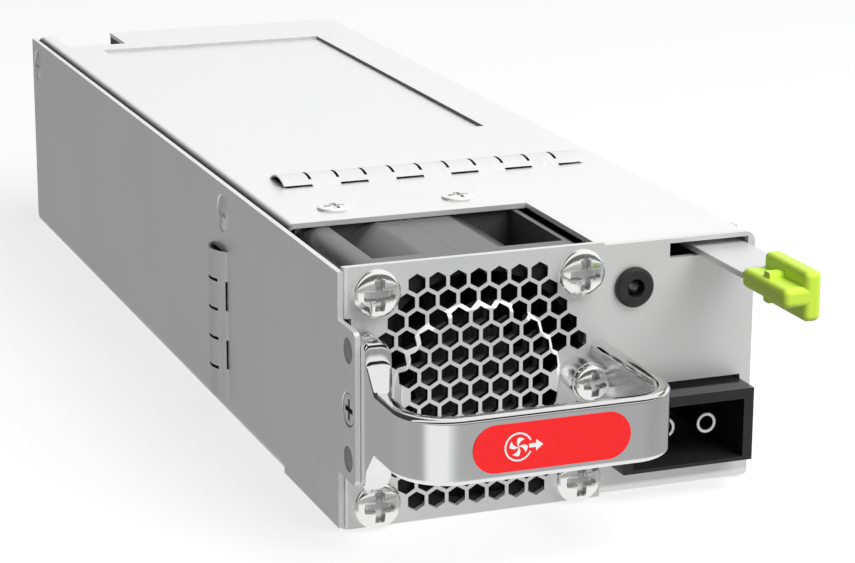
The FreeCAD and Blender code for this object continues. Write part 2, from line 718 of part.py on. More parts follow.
def handle_label():
    """Thin stadium on the middle of the strap's front face."""
    face_y = FRONT - HANDLE_REACH
    centre_x = FAN_X
    half = LABEL_H / 2
    plate = box(centre_x - LABEL_W / 2 + half, centre_x + LABEL_W / 2 - half, face_y - LABEL_T, face_y,
                HANDLE_Z - half, HANDLE_Z + half)
    ends = []
    for side in (-1, 1):
        place = V(centre_x + side * (LABEL_W / 2 - half), face_y - LABEL_T, HANDLE_Z)
        ends.append(rod(half, place, place + Y_AXIS * LABEL_T))
    return merge([plate] + ends)


def finger_strip(length, segments, rise, first_lifted):
    """An arched spring strip along X on the plane z = 0, slit into fingers, every other one lifted."""
    arch_r = (FINGER_W ** 2 / 4 + rise ** 2) / (2 * rise)
    centre = V(0, 0, rise - arch_r)
    run = X_AXIS * length
    ring = rod(arch_r, centre, centre + run).cut(rod(arch_r - FINGER_T, centre, centre + run))
    half = FINGER_W / 2
    arch = ring.common(box(0, length, -half, half, 0, rise))
    pitch = length / segments
    tools = []
    for index in range(1, segments):
        x = index * pitch
        x0, x1 = x - FINGER_SLIT / 2, x + FINGER_SLIT / 2
        tools.append(box(x0, x1, -half * FINGER_SLIT_REACH, half + 1, -1, rise + 1))
    for index in range(first_lifted, segments, 2):
        x = index * pitch
        tools.append(box(x, x + pitch, -half - 1, -half * FINGER_SLIT_REACH, -1, FINGER_LIFT))
    return cut(arch, tools)


def top_finger_strip():
    length = CASE_W - TOP_STRIP_LEFT - TOP_STRIP_RIGHT
    strip = finger_strip(length, TOP_STRIP_SEGMENTS, TOP_STRIP_RISE, 0)
    strip.translate(V(LEFT + TOP_STRIP_LEFT, FRONT + TOP_STRIP_Y, CASE_H))
    return strip


def side_finger_strip():
    strip = finger_strip(SIDE_STRIP_L, SIDE_STRIP_SEGMENTS, SIDE_STRIP_RISE, 1)
    strip.rotate(V(0, 0, 0), Y_AXIS, -90)
    strip.translate(V(LEFT, FRONT + SIDE_STRIP_Y, SIDE_STRIP_Z))
    return strip


def fan_frame():
    """Square housing with pockets above and below its round barrel, struts and a bearing tube behind."""
    half = FAN_SIZE / 2
    front = V(FAN_X, FAN_FRONT, FAN_Z)
    rear = V(FAN_X, FAN_REAR, FAN_Z)
    left, right = FAN_X - half, FAN_X + half
    block = box(left, right, FAN_FRONT, FAN_REAR, FAN_Z - half, FAN_Z + half)
    block = rounded(block, FAN_CORNER_LEFT, Y_AXIS, [V(left, 0, FAN_Z + b * half) for b in (-1, 1)])
    block = rounded(block, FAN_CORNER_RIGHT, Y_AXIS, [V(right, 0, FAN_Z + b * half) for b in (-1, 1)])
    room = box(left + FAN_RAIL_LEFT, right - FAN_RAIL_RIGHT, FAN_FRONT + FAN_FLANGE,
               FAN_REAR - FAN_REAR_FLANGE, FAN_Z - half - 1, FAN_Z + half + 1)
    tools = [room.cut(rod(half, front, rear)), rod(FAN_BORE_R, front - Y_AXIS, rear + Y_AXIS)]
    for x, z in fan_corners():
        tools.append(rod(SCREW_R, V(x, FAN_FRONT - 1, z), V(x, FAN_FRONT + FAN_HOLE_D, z)))
    shell = cut(block, tools)

    base = rod(FAN_HUB_R, rear - Y_AXIS * FAN_BASE, rear)
    tube_front = FAN_FRONT + FAN_NOSE + FAN_HUB_WALL + 1
    tube = rod(SHAFT_R + SHAFT_CLEAR + 1, V(FAN_X, tube_front, FAN_Z), rear)
    struts = []
    for quarter in range(4):
        reach = FAN_BORE_R + FAN_WALL / 2
        strut = box(0, reach, FAN_REAR - FAN_BASE, FAN_REAR, -FAN_STRUT / 2, FAN_STRUT / 2)
        strut.rotate(V(0, 0, 0), Y_AXIS, 45 + 90 * quarter)
        strut.translate(V(FAN_X, 0, FAN_Z))
        struts.append(strut)
    bore = rod(SHAFT_R + SHAFT_CLEAR, V(FAN_X, FAN_FRONT, FAN_Z), rear - Y_AXIS)
    return merge([shell, base, tube] + struts).cut(bore)


def fan_stator():
    """Winding ring pressed on the bearing tube inside the rotor's cup."""
    front = V(FAN_X, FAN_FRONT + FAN_NOSE + FAN_HUB_WALL + 3, FAN_Z)
    rear = V(FAN_X, FAN_REAR - FAN_BASE, FAN_Z)
    ring = rod(FAN_HUB_R - FAN_HUB_WALL - 0.8, front, rear)
    return ring.cut(rod(SHAFT_R + SHAFT_CLEAR + 1, front, rear))


def blade(turn):
    """One twisted blade, lofted from the hub to the tip."""
    tip_r = FAN_BORE_R - FAN_TIP_GAP
    mid_y = (FAN_FRONT + FAN_NOSE + FAN_REAR - FAN_BASE) / 2 - 1
    wires = []
    radii = (FAN_HUB_R - FAN_HUB_WALL / 2, None)
    for radius, pitch, chord in zip(radii, FAN_BLADE_PITCH, FAN_BLADE_CHORD):
        angle = math.radians(pitch)
        half_tangent = chord / 2 * math.cos(angle) + FAN_BLADE_T / 2
        flat = radius or math.sqrt(tip_r ** 2 - half_tangent ** 2)
        along = V(math.cos(angle), math.sin(angle), 0) * (chord / 2)
        thick = V(-math.sin(angle), math.cos(angle), 0) * (FAN_BLADE_T / 2)
        centre = V(FAN_X, mid_y, FAN_Z + flat)
        points = [centre - along - thick, centre + along - thick, centre + along + thick,
                  centre - along + thick]
        wires.append(Part.makePolygon(points + points[:1]))
    solid = Part.makeLoft(wires, True, True)
    solid.rotate(V(FAN_X, 0, FAN_Z), Y_AXIS, turn)
    return solid


def fan_rotor():
    """Cup-shaped hub with its blades and the shaft that turns in the bearing tube."""
    front = V(FAN_X, FAN_FRONT + FAN_NOSE, FAN_Z)
    back = V(FAN_X, FAN_REAR - FAN_BASE - 1, FAN_Z)
    hub = rod(FAN_HUB_R, front, back)
    blades = [blade(360 / FAN_BLADES * k) for k in range(FAN_BLADES)]
    room = rod(FAN_HUB_R - FAN_HUB_WALL, front + Y_AXIS * FAN_HUB_WALL, back + Y_AXIS)
    shaft = rod(SHAFT_R, front, back)
    return merge([merge([hub] + blades).cut(room), shaft])


def fan_screws():
    length = PANEL_T + FAN_HOLE_D - 0.4
    return [dome_screw(V(x, FRONT, z), Y_AXIS, X_AXIS, DOME_HEAD_R, DOME_HEAD_H, SCREW_R, length)
            for x, z in fan_corners()]


def fan_bracket():
    """Sheet behind the fan with a round opening, flanged to the cover and the floor."""
    left, right = FLANGE_IN + SEAM, FAN_X + FAN_SIZE / 2
    bottom, top = FLOOR_TOP, COVER_UNDER
    end = BRACKET_Y + BRACKET_FLANGE
    inner = BRACKET_Y + SHEET
    outline = [(BRACKET_Y, bottom), (end, bottom), (end, bottom + SHEET), (inner, bottom + SHEET),
               (inner, top - SHEET), (end, top - SHEET), (end, top), (BRACKET_Y, top)]
    sheet = prism([V(left + BEND_R, y, z) for y, z in outline], V(right - left - BEND_R, 0, 0))
    opening = rod(FAN_BORE_R, V(FAN_X, BRACKET_Y - 1, FAN_Z), V(FAN_X, BRACKET_Y + SHEET + 1, FAN_Z))
    tools = [opening]
    for x in cover_screw_xs():
        place = V(x, FRONT + COVER_SCREW_Y, top - SHEET - 1)
        tools.append(rod(SCREW_R, place, place + Z_AXIS * (SHEET + 2)))
    return cut(sheet, tools)


def cover_screws():
    """Low domed heads on the cover."""
    places = [V(x, FRONT + COVER_SCREW_Y, CASE_H) for x in cover_screw_xs()]
    return [dome_screw(place, Z_AXIS * -1, X_AXIS, LOW_HEAD_R, LOW_HEAD_H, SCREW_R, LOW_SHANK)
            for place in places]


def wall_screws():
    """Countersunk screws with a slightly crowned head."""
    screws = []
    left, right = wall_screw_places()
    for face, inward in left + right:
        screw = flush_screw(face, inward, Y_AXIS, FLUSH_HEAD_R, SHEET, SCREW_R, FLUSH_SHANK)
        seat = face + inward * FLUSH_SINK
        crown = dome(seat, inward, FLUSH_HEAD_R - FLUSH_SINK, FLUSH_CROWN)
        recess = cross_recess(seat - inward, inward, Y_AXIS, 2 * FLUSH_HEAD_R * CROSS_SHARE, 1)
        screws.append(merge([screw, crown.cut(recess)]))
    return screws


def handle_side_screw():
    face = V(LEFT, FRONT - TAB_SCREW_Y, HANDLE_Z)
    return flush_screw(face, X_AXIS, Y_AXIS, TAB_HEAD_R, SHEET, SCREW_R, ROOT_W - 0.4)


def handle_foot_screw():
    seat = V(FOOT_SCREW_X, LUG_FACE, HANDLE_Z)
    return dome_screw(seat, Y_AXIS, X_AXIS, FOOT_HEAD_R, FOOT_HEAD_H, FOOT_SCREW_R, LUG_T + PANEL_T)


def led_bezel():
    front = V(LED_X, FRONT - LED_PROUD, LED_Z)
    seat = V(LED_X, FRONT, LED_Z)
    back = V(LED_X, FRONT + LED_DEPTH, LED_Z)
    ring = rod(LED_BEZEL_R, front, seat)
    rim = [edge for edge in ring.Edges if abs(edge.CenterOfMass.y - front.y) < 1e-6]
    ring = ring.makeChamfer(LED_PROUD * 0.4, rim)
    return merge([ring, rod(LED_BARREL_R, seat, back)]).cut(rod(LED_LENS_R, front - Y_AXIS, back + Y_AXIS))


def led_lens():
    front = V(LED_X, FRONT - LED_PROUD * 0.4, LED_Z)
    return rod(LED_LENS_R, front, V(LED_X, FRONT + LED_DEPTH + 2, LED_Z))


def contact_xs():
    return [CONTACT_X - CONTACT_SPREAD / 2, CONTACT_X + CONTACT_SPREAD / 2]


def dc_socket():
    """Open-fronted housing through the panel, with a flange behind it."""
    bottom, top = SOCKET_Z - SOCKET_H / 2, SOCKET_Z + SOCKET_H / 2
    mouth = FRONT - SOCKET_PROUD
    body = box(SOCKET_LEFT, SOCKET_RIGHT, mouth, FRONT + SOCKET_BODY, bottom, top)
    flange = box(SOCKET_LEFT - SOCKET_FLANGE, SOCKET_RIGHT + SOCKET_FLANGE / 2,
                 PANEL_BACK, PANEL_BACK + SOCKET_SIDE, bottom - SOCKET_FLANGE, top + SOCKET_FLANGE)
    cavity = box(SOCKET_LEFT + SOCKET_SIDE, SOCKET_RIGHT - SOCKET_SIDE, mouth - 1, FRONT + SOCKET_CAVITY,
                 bottom + SOCKET_FLOOR, top - SOCKET_TOP)
    housing = merge([body, flange]).cut(cavity)
    end = FRONT + SOCKET_BODY + 1
    holes = [rod(CONTACT_R, V(x, FRONT, SOCKET_Z), V(x, end, SOCKET_Z)) for x in contact_xs()]
    return cut(housing, holes)


def dc_contacts():
    """Two tube contacts with solid tails."""
    tubes = []
    for x in contact_xs():
        tip = V(x, FRONT - CONTACT_TIP, SOCKET_Z)
        tube = rod(CONTACT_R, tip, V(x, FRONT + CONTACT_TAIL, SOCKET_Z))
        bore = rod(CONTACT_BORE_R, tip - Y_AXIS, V(x, FRONT + SOCKET_CAVITY, SOCKET_Z))
        tubes.append(tube.cut(bore))
    return tubes


def input_busbars():
    """Flat bars from the contact tails back to the board, bent down at their far ends."""
    bars = []
    plate_y = FRONT + SOCKET_BODY + 1
    foot_y = FRONT + BOARD_FRONT + BUSBAR_W
    low = SOCKET_Z - CONTACT_R - 1.5
    for x in contact_xs():
        x0, x1 = x - BUSBAR_W / 2, x + BUSBAR_W / 2
        plate = box(x0, x1, plate_y, plate_y + BUSBAR_T, low, SOCKET_Z + CONTACT_R + 1)
        run = box(x0, x1, plate_y, foot_y, low, low + BUSBAR_T)
        foot = box(x0, x1, foot_y - BUSBAR_T, foot_y, BOARD_TOP, low + BUSBAR_T)
        hole = rod(CONTACT_R, V(x, plate_y - 1, SOCKET_Z), V(x, plate_y + BUSBAR_T + 1, SOCKET_Z))
        bars.append(merge([plate, run, foot]).cut(hole))
    return bars


def tongue_outline():
    """The lever's narrow front end inside the grip, as x and y."""
    left = LEVER_LEFT + (GRIP_BLOCK_W - TONGUE_W) / 2
    back = FRONT - GRIP_BACK
    return left, left + TONGUE_W, back - TONGUE_L, back


def latch_lever():
    """Flat strip from the grip through the slot to its pivot eye, with the hook on its right edge."""
    left, right, tip, back = tongue_outline()
    pivot = V(PIVOT_X, FRONT + PIVOT_Y, LEVER_BOTTOM)
    shoulder = FRONT + HOOK_Y + HOOK_L + 5
    hook_front = FRONT + HOOK_Y
    hook_out = RIGHT + HOOK_REACH
    outline = [(left, tip), (right, tip), (right, back), (LEVER_RIGHT, back), (LEVER_RIGHT, hook_front),
               (hook_out, hook_front), (hook_out, hook_front + HOOK_FLAT),
               (LEVER_RIGHT, hook_front + HOOK_L),
               (LEVER_RIGHT, shoulder), (PIVOT_X + EYE_R, pivot.y), (PIVOT_X - EYE_R, pivot.y),
               (LEVER_LEFT, shoulder), (LEVER_LEFT, back), (left, back)]
    strip = prism([V(x, y, LEVER_BOTTOM) for x, y in outline], Z_AXIS * LEVER_T)
    eye = rod(EYE_R, pivot, pivot + Z_AXIS * LEVER_T)
    bore = rod(PIVOT_R + PIVOT_CLEAR, pivot - Z_AXIS, pivot + Z_AXIS * (LEVER_T + 1))
    return merge([strip, eye]).cut(bore)


def latch_grip():
    """Moulded T-section grip on the lever's tongue, with a low nub above and below its block."""
    left = LEVER_LEFT
    right = left + GRIP_BLOCK_W
    front = FRONT - GRIP_REACH
    middle = (LEVER_BOTTOM + LEVER_TOP) / 2 - GRIP_DROP
    block = box(left, right, front, FRONT - GRIP_BACK,
                middle - GRIP_BLOCK_H / 2, middle + GRIP_BLOCK_H / 2)
    block = block.makeFillet(GRIP_EDGE, block.Edges)
    plate = box(right - GRIP_PLATE_W, right, front, FRONT - GRIP_PLATE_BACK,
                middle - GRIP_PLATE_H / 2, middle + GRIP_PLATE_H / 2)
    plate = plate.makeFillet(GRIP_EDGE, plate.Edges)
    rise = GRIP_BLOCK_H / 2 + GRIP_NUB_RISE
    nub_y = FRONT - GRIP_NUB_Y
    flat, foot = GRIP_NUB_TOP / 2, GRIP_NUB_L / 2
    nub_outline = [(-foot, 0), (-flat, -rise), (flat, -rise), (foot, 0), (flat, rise), (-flat, rise)]
    nub_w = GRIP_BLOCK_W - GRIP_EDGE - GRIP_PLATE_W / 2
    nub = prism([V(left + GRIP_EDGE, nub_y + y, middle + z) for y, z in nub_outline], X_AXIS * nub_w)
    tongue = tongue_outline()
    room = box(*tongue, LEVER_BOTTOM, LEVER_TOP)
    return merge([block, plate, nub]).cut(room)


def latch_pivot():
    """Headed pin with a collar, welded to the underside of the cover."""
    low = V(PIVOT_X, FRONT + PIVOT_Y, LEVER_BOTTOM - PIVOT_PLAY - PIVOT_HEAD)
    high = V(PIVOT_X, FRONT + PIVOT_Y, COVER_UNDER)
    head = rod(PIVOT_COLLAR_R, low, low + Z_AXIS * PIVOT_HEAD)
    collar = rod(PIVOT_COLLAR_R, V(low.x, low.y, LEVER_TOP + PIVOT_PLAY), high)
    return merge([head, collar, rod(PIVOT_R, low, high)])


def latch_spring():
    """Bent leaf from a tab under the cover to the lever's left edge."""
    tab_y = FRONT + PIVOT_Y
    tip_x = LEVER_LEFT - SEAM
    bend_x = tip_x - SPRING_RUN / 2
    tab_x = bend_x - SPRING_TAB
    tip_y = FRONT + SPRING_TIP_Y
    outline = [(bend_x, tab_y), (tip_x - SPRING_T, tip_y), (tip_x, tip_y), (bend_x + SPRING_T, tab_y)]
    leaf = prism([V(x, y, LEVER_BOTTOM) for x, y in outline], Z_AXIS * LEVER_T)
    base = box(tab_x, bend_x + SPRING_T, tab_y, tab_y + SPRING_T, LEVER_BOTTOM, COVER_UNDER)
    tab = box(tab_x, bend_x + SPRING_T, tab_y, tab_y + SPRING_TAB, COVER_UNDER - SPRING_T, COVER_UNDER)
    return merge([leaf, base, tab])


def board_outline():
    return LEFT + BOARD_SIDE, RIGHT - BOARD_SIDE, FRONT + BOARD_FRONT, REAR - BOARD_REAR


def main_board():
    holes = []
    for x, y in standoff_places():
        holes.append(rod(SCREW_R + SCREW_HOLE_CLEAR, V(x, y, BOARD_BOTTOM - 1), V(x, y, BOARD_TOP + 1)))
    return cut(box(*board_outline(), BOARD_BOTTOM, BOARD_TOP), holes)


def board_standoffs():
    posts = []
    for x, y in standoff_places():
        post = rod(STANDOFF_R, V(x, y, FLOOR_TOP), V(x, y, BOARD_BOTTOM))
        posts.append(post.cut(rod(SCREW_R, V(x, y, FLOOR_TOP - 1), V(x, y, BOARD_BOTTOM + 1))))
    return posts


def board_screws():
    length = BOARD_T + BOARD_LIFT - 0.4
    return [flat_screw(V(x, y, BOARD_TOP), BOARD_HEAD_R, BOARD_HEAD_H, SCREW_R, length)
            for x, y in standoff_places()]


def insulating_film():
    x0, x1, y0, y1 = board_outline()
    sheet = box(x0, x1, y0 + BRACKET_FLANGE, y1, FLOOR_TOP, FLOOR_TOP + FILM_T)
    holes = [rod(STANDOFF_R + SCREW_HOLE_CLEAR, V(x, y, FLOOR_TOP - 1), V(x, y, FLOOR_TOP + 1))
             for x, y in standoff_places()]
    return cut(sheet, holes)


def heat_sink():
    """Finned bar, extruded along the board."""
    outline = [(0, 0)]
    for fin in range(SINK_FINS):
        x = fin * (SINK_FIN + SINK_GAP)
        outline += [(x, SINK_BASE), (x, SINK_H), (x + SINK_FIN, SINK_H), (x + SINK_FIN, SINK_BASE)]
    outline = outline[:1] + outline[2:-1] + [(x + SINK_FIN, 0)]
    start = FRONT + SINK_FRONT
    run = REAR - SINK_REAR - start
    return prism([V(LEFT + SINK_X + a, start, BOARD_TOP + b) for a, b in outline], Y_AXIS * run)


def transformer():
    """Ferrite core with a window on each side of the wound middle."""
    y0, y1 = FRONT + CORE_FRONT, CHOKE_FRONT - CORE_TO_CHOKE
    block = box(CORE_LEFT, CORE_RIGHT, y0, y1, BOARD_TOP, BOARD_TOP + CORE_H)
    low, high = BOARD_TOP + CORE_LEG, BOARD_TOP + CORE_H - CORE_LEG
    x0, x1 = CORE_LEFT + CORE_LEG, CORE_RIGHT - CORE_LEG
    window = box(x0, x1, y0 - 1, y1 + 1, low, high)
    winding = box(x0 + 0.5, x1 - 0.5, y0 - 3, y1 + 3, low, high)
    return merge([block.cut(window), winding])


def output_choke():
    """Moulded block choke with chamfered top edges."""
    x0, x1 = SINK_RIGHT + CHOKE_INSET, CAP_X - INPUT_CAP_R - CHOKE_INSET
    block = box(x0, x1, CHOKE_FRONT, CHOKE_FRONT + CHOKE_D, BOARD_TOP, BOARD_TOP + CHOKE_H)
    top = [edge for edge in block.Edges if abs(edge.CenterOfMass.z - BOARD_TOP - CHOKE_H) < 1e-6]
    return block.makeChamfer(1.2, top)


def input_choke():
    """Wound ring core lying on the board."""
    low = V(RIGHT - TOROID_FROM_RIGHT, FRONT + TOROID_Y, BOARD_TOP)
    high = low + Z_AXIS * TOROID_H
    ring = rod(TOROID_R, low, high).cut(rod(TOROID_HOLE_R, low - Z_AXIS, high + Z_AXIS))
    rims = [edge for edge in ring.Edges if isinstance(edge.Curve, Part.Circle)]
    return ring.makeChamfer(1.5, rims)


def capacitor(x, y, radius, height):
    low = V(x, y, BOARD_TOP)
    can = rod(radius, low, low + Z_AXIS * height)
    rim = [edge for edge in can.Edges if abs(edge.CenterOfMass.z - BOARD_TOP - height) < 1e-6]
    return can.makeChamfer(0.6, rim)


def input_capacitors():
    step = 2 * INPUT_CAP_R + CAP_GAP
    start = FRONT + CAP_Y
    return [capacitor(CAP_X, start + k * step, INPUT_CAP_R, INPUT_CAP_H) for k in range(INPUT_CAPS)]


def output_capacitors():
    step = 2 * OUTPUT_CAP_R + CAP_GAP
    start = FRONT + CAP_Y + INPUT_CAPS * (2 * INPUT_CAP_R + CAP_GAP) + OUTPUT_CAP_R
    count = int((REAR - OUTPUT_CAP_REAR - start - OUTPUT_CAP_R) / step) + 1
    return [capacitor(CAP_X, start + k * step, OUTPUT_CAP_R, OUTPUT_CAP_H) for k in range(count)]


def fan_lead():
    """Lead from a strut of the fan back to the board, turned down in one arc."""
    arm = LEAD_ARM * math.sqrt(0.5)
    x, z = FAN_X + arm, FAN_Z - arm
    bend = (z - BOARD_TOP) / 2
    start = V(x, FAN_REAR, z)
    turn = V(x, FAN_REAR + LEAD_RUN, z)
    middle = turn + V(0, bend * math.sqrt(0.5), bend * (math.sqrt(0.5) - 1))
    down = V(x, turn.y + bend, z - bend)
    path = Part.Wire([
        Part.LineSegment(start, turn).toShape(),
        Part.Arc(turn, middle, down).toShape(),
        Part.LineSegment(down, V(x, down.y, BOARD_TOP)).toShape(),
    ])
    profile = Part.Wire([Part.makeCircle(LEAD_R, start, Y_AXIS)])
    return path.makePipeShell([profile], True, False)


def rear_frame():
    """Moulded rear end, stepped forward beside the notch, with vents and a window for the connector."""
    back = REAR - FRAME_INSET
    left, right = FLANGE_IN + 3 * SEAM, LIP_OUT - SHEET - 3 * SEAM
    step = NOTCH_RIGHT
    outline = [(right, back), (step, back), (step, BAY_Y), (left, BAY_Y), (left, BAY_Y - FRAME_T),
               (step + FRAME_T, BAY_Y - FRAME_T), (step + FRAME_T, back - FRAME_T),
               (right, back - FRAME_T)]
    low, high = FLOOR_TOP + SEAM, COVER_UNDER - SEAM
    frame = prism([V(x, y, low) for x, y in outline], Z_AXIS * (high - low))
    frame = rounded(frame, BEND_R, Y_AXIS, [V(right, 0, low), V(right, 0, high), V(left, 0, high)])
    near, far = back - FRAME_T - 1, back + 1
    window_top = BOARD_TOP + CONNECTOR_H + CONNECTOR_CLEAR
    tools = [box(CONNECTOR_LEFT - CONNECTOR_CLEAR, CONNECTOR_RIGHT + CONNECTOR_CLEAR, near, far,
                 BOARD_TOP - CONNECTOR_CLEAR, window_top)]
    start = step + VENT_FROM_NOTCH
    vents = int((RIGHT - VENT_FROM_RIGHT - VENT_W - start) / VENT_PITCH + 1e-6) + 1
    for index in range(vents):
        x = start + index * VENT_PITCH
        tools.append(box(x, x + VENT_W, near, far, window_top + VENT_FOOT, high - VENT_HEAD))
    return cut(frame, tools)


def connector_slot_xs():
    pitch = (CONNECTOR_RIGHT - CONNECTOR_LEFT) / CONNECTOR_SLOTS
    return [CONNECTOR_LEFT + (k + 0.5) * pitch for k in range(CONNECTOR_SLOTS)]


def rear_connector():
    """Blind-mate housing on the board with a row of blade slots."""
    body = box(CONNECTOR_LEFT, CONNECTOR_RIGHT, CONNECTOR_BACK - CONNECTOR_D, CONNECTOR_BACK,
               BOARD_TOP, BOARD_TOP + CONNECTOR_H)
    low = BOARD_TOP + (CONNECTOR_H - CONNECTOR_SLOT_H) / 2
    slots = [box(x - CONNECTOR_SLOT_W / 2, x + CONNECTOR_SLOT_W / 2, CONNECTOR_BACK - CONNECTOR_SLOT_D,
                 CONNECTOR_BACK + 1, low, low + CONNECTOR_SLOT_H) for x in connector_slot_xs()]
    return cut(body, slots)


def rear_contacts():
    """One blade in each slot, standing on the slot's bottom."""
    start = CONNECTOR_BACK - CONNECTOR_SLOT_D
    low = BOARD_TOP + (CONNECTOR_H - CONNECTOR_SLOT_H) / 2 + 1
    high = low + CONNECTOR_SLOT_H - 2
    return [box(x - BLADE_T / 2, x + BLADE_T / 2, start, start + BLADE_L, low, high)
            for x in connector_slot_xs()]


PIECES = [
    base_tray, top_cover, front_panel, handle, handle_label, handle_side_screw, handle_foot_screw,
    top_finger_strip, side_finger_strip, cover_screws, wall_screws,
    fan_frame, fan_stator, fan_rotor, fan_screws, fan_bracket, fan_lead,
    led_bezel, led_lens, dc_socket, dc_contacts, input_busbars,
    latch_lever, latch_grip, latch_pivot, latch_spring,
    main_board, board_standoffs, board_screws, insulating_film, heat_sink, transformer,
    output_choke, input_choke, input_capacitors, output_capacitors,
    rear_frame, rear_connector, rear_contacts,
]

os.makedirs("parts", exist_ok=True)
for piece in PIECES:
    made = piece()
    shape = Part.makeCompound(made) if isinstance(made, list) else made
    shape.exportStep(f"parts/{piece.__name__}.step")
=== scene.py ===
import bmesh
import bpy
import functools
import math
import numpy as np
from mathutils import Matrix, Vector


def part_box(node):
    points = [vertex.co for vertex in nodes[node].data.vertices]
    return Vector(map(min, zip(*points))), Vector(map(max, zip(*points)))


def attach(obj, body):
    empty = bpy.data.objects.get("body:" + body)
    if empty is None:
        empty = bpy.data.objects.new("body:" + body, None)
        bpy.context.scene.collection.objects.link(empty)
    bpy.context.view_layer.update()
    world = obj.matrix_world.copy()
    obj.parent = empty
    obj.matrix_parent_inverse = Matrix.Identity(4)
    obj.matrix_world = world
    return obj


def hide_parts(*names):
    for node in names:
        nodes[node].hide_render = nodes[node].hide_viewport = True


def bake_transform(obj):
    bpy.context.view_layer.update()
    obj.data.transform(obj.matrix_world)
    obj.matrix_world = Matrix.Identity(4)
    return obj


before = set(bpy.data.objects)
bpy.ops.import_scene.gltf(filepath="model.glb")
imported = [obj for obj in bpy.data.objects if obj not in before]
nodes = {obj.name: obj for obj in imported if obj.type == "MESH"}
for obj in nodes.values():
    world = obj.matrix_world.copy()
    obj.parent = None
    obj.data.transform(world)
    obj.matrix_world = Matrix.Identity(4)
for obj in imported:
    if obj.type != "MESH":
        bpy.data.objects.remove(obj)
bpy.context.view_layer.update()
scene = bpy.context.scene
scene.view_settings.view_transform = "Standard"


# Camera: a long lens from the front left, a little above the case, as in the photograph.
# Its three directions were worked out from the case's edges and the four fan screws.
camera_data = bpy.data.cameras.new("camera")
camera_data.lens = 112.98
camera_data.sensor_width = 36.0
camera_data.clip_start = 0.01
camera = bpy.data.objects.new("camera", camera_data)
scene.collection.objects.link(camera)
camera_place = Vector((-0.15290, -0.44160, 0.14094))
to_right = Vector((0.93353, -0.35848, 0.00418))
to_top = Vector((0.09352, 0.25475, 0.96247))
to_back = Vector((-0.34609, -0.89811, 0.27134))
turn = Matrix((to_right, to_top, to_back)).transposed().to_4x4()
camera.matrix_world = Matrix.Translation(camera_place) @ turn
scene.camera = camera


# Case: tray, cover, front panel and fan bracket, folded from satin zinc-plated steel sheet with a fine
# grain and faint clouds, held by flush screws of the same plating. Painted light brightens the cover's top;
# painted shade darkens its left fold, its recess steps and the sheet under the finger strips.
def shader_of(material):
    """A material's own Principled shader."""
    return material.node_tree.nodes["Principled BSDF"]


def new_finish(name, color, metallic, roughness):
    """A material with its plain values set on the shader's own sockets."""
    material = bpy.data.materials.new(name)
    material.use_nodes = True
    inputs = shader_of(material).inputs
    inputs["Base Color"].default_value = (*color, 1.0)
    inputs["Metallic"].default_value = metallic
    inputs["Roughness"].default_value = roughness
    return material


def finish_copy(material, name):
    """A copy of a material under a name of its own."""
    copy = material.copy()
    copy.name = name
    return copy


def noise_on(material, scale, detail, stretch=(1.0, 1.0, 1.0)):
    """Noise on Object coordinates, which a Mapping node stretches along one direction."""
    tree = material.node_tree
    coordinate = tree.nodes.new("ShaderNodeTexCoord")
    mapping = tree.nodes.new("ShaderNodeMapping")
    mapping.inputs["Scale"].default_value = stretch
    noise = tree.nodes.new("ShaderNodeTexNoise")
    noise.inputs["Scale"].default_value = scale
    noise.inputs["Detail"].default_value = detail
    tree.links.new(coordinate.outputs["Object"], mapping.inputs["Vector"])
    tree.links.new(mapping.outputs["Vector"], noise.inputs["Vector"])
    return noise.outputs["Fac"]


def vary(material, socket, value, low, high, start=0.35, end=0.65):
    """Drive a shader socket by a ColorRamp that turns a value into a level or colour between two others."""
    tree = material.node_tree
    ramp = tree.nodes.new("ShaderNodeValToRGB")
    for element, position, level in zip(ramp.color_ramp.elements, (start, end), (low, high)):
        element.position = position
        element.color = (*level, 1.0) if isinstance(level, tuple) else (level, level, level, 1.0)
    tree.links.new(value, ramp.inputs["Fac"])
    tree.links.new(ramp.outputs["Color"], shader_of(material).inputs[socket])
    return ramp.outputs["Color"]


def grain_bump(material, value, depth, strength):
    """A Bump node that raises the surface by a depth in metres where the value is high."""
    bump = material.node_tree.nodes.new("ShaderNodeBump")
    bump.inputs["Strength"].default_value = strength
    bump.inputs["Distance"].default_value = depth
    material.node_tree.links.new(value, bump.inputs["Height"])
    material.node_tree.links.new(bump.outputs["Normal"], shader_of(material).inputs["Normal"])


def dress(material, *names):
    """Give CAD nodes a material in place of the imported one."""
    for name in names:
        nodes[name].data.materials.clear()
        nodes[name].data.materials.append(material)


def math_node(material, operation, first, second=0.0):
    """A Math node on two inputs, each an output socket or a number, which gives its output socket."""
    tree = material.node_tree
    node = tree.nodes.new("ShaderNodeMath")
    node.operation = operation
    for socket, value in zip(node.inputs, (first, second)):
        if isinstance(value, (int, float)):
            socket.default_value = value
        else:
            tree.links.new(value, socket)
    return node.outputs["Value"]


def product(material, *values):
    """All the values multiplied together."""
    return functools.reduce(functools.partial(math_node, material, "MULTIPLY"), values)


def distance(material, first, second):
    """The root of the sum of two squares."""
    squares = [product(material, value, value) for value in (first, second)]
    return math_node(material, "SQRT", math_node(material, "ADD", *squares))


def near(material, value, centre, half):
    """1 where a value is less than a half width away from a centre, and 0 elsewhere."""
    off = math_node(material, "ABSOLUTE", math_node(material, "SUBTRACT", value, centre))
    return math_node(material, "LESS_THAN", off, half)


def map_range(material, value, start, end, low=0.0, high=1.0, smooth=False):
    """A Map Range node that turns start to end into low to high and holds those two beyond."""
    node = material.node_tree.nodes.new("ShaderNodeMapRange")
    node.interpolation_type = "SMOOTHSTEP" if smooth else "LINEAR"
    for name, level in (("From Min", start), ("From Max", end), ("To Min", low), ("To Max", high)):
        node.inputs[name].default_value = level
    material.node_tree.links.new(value, node.inputs["Value"])
    return node.outputs["Result"]


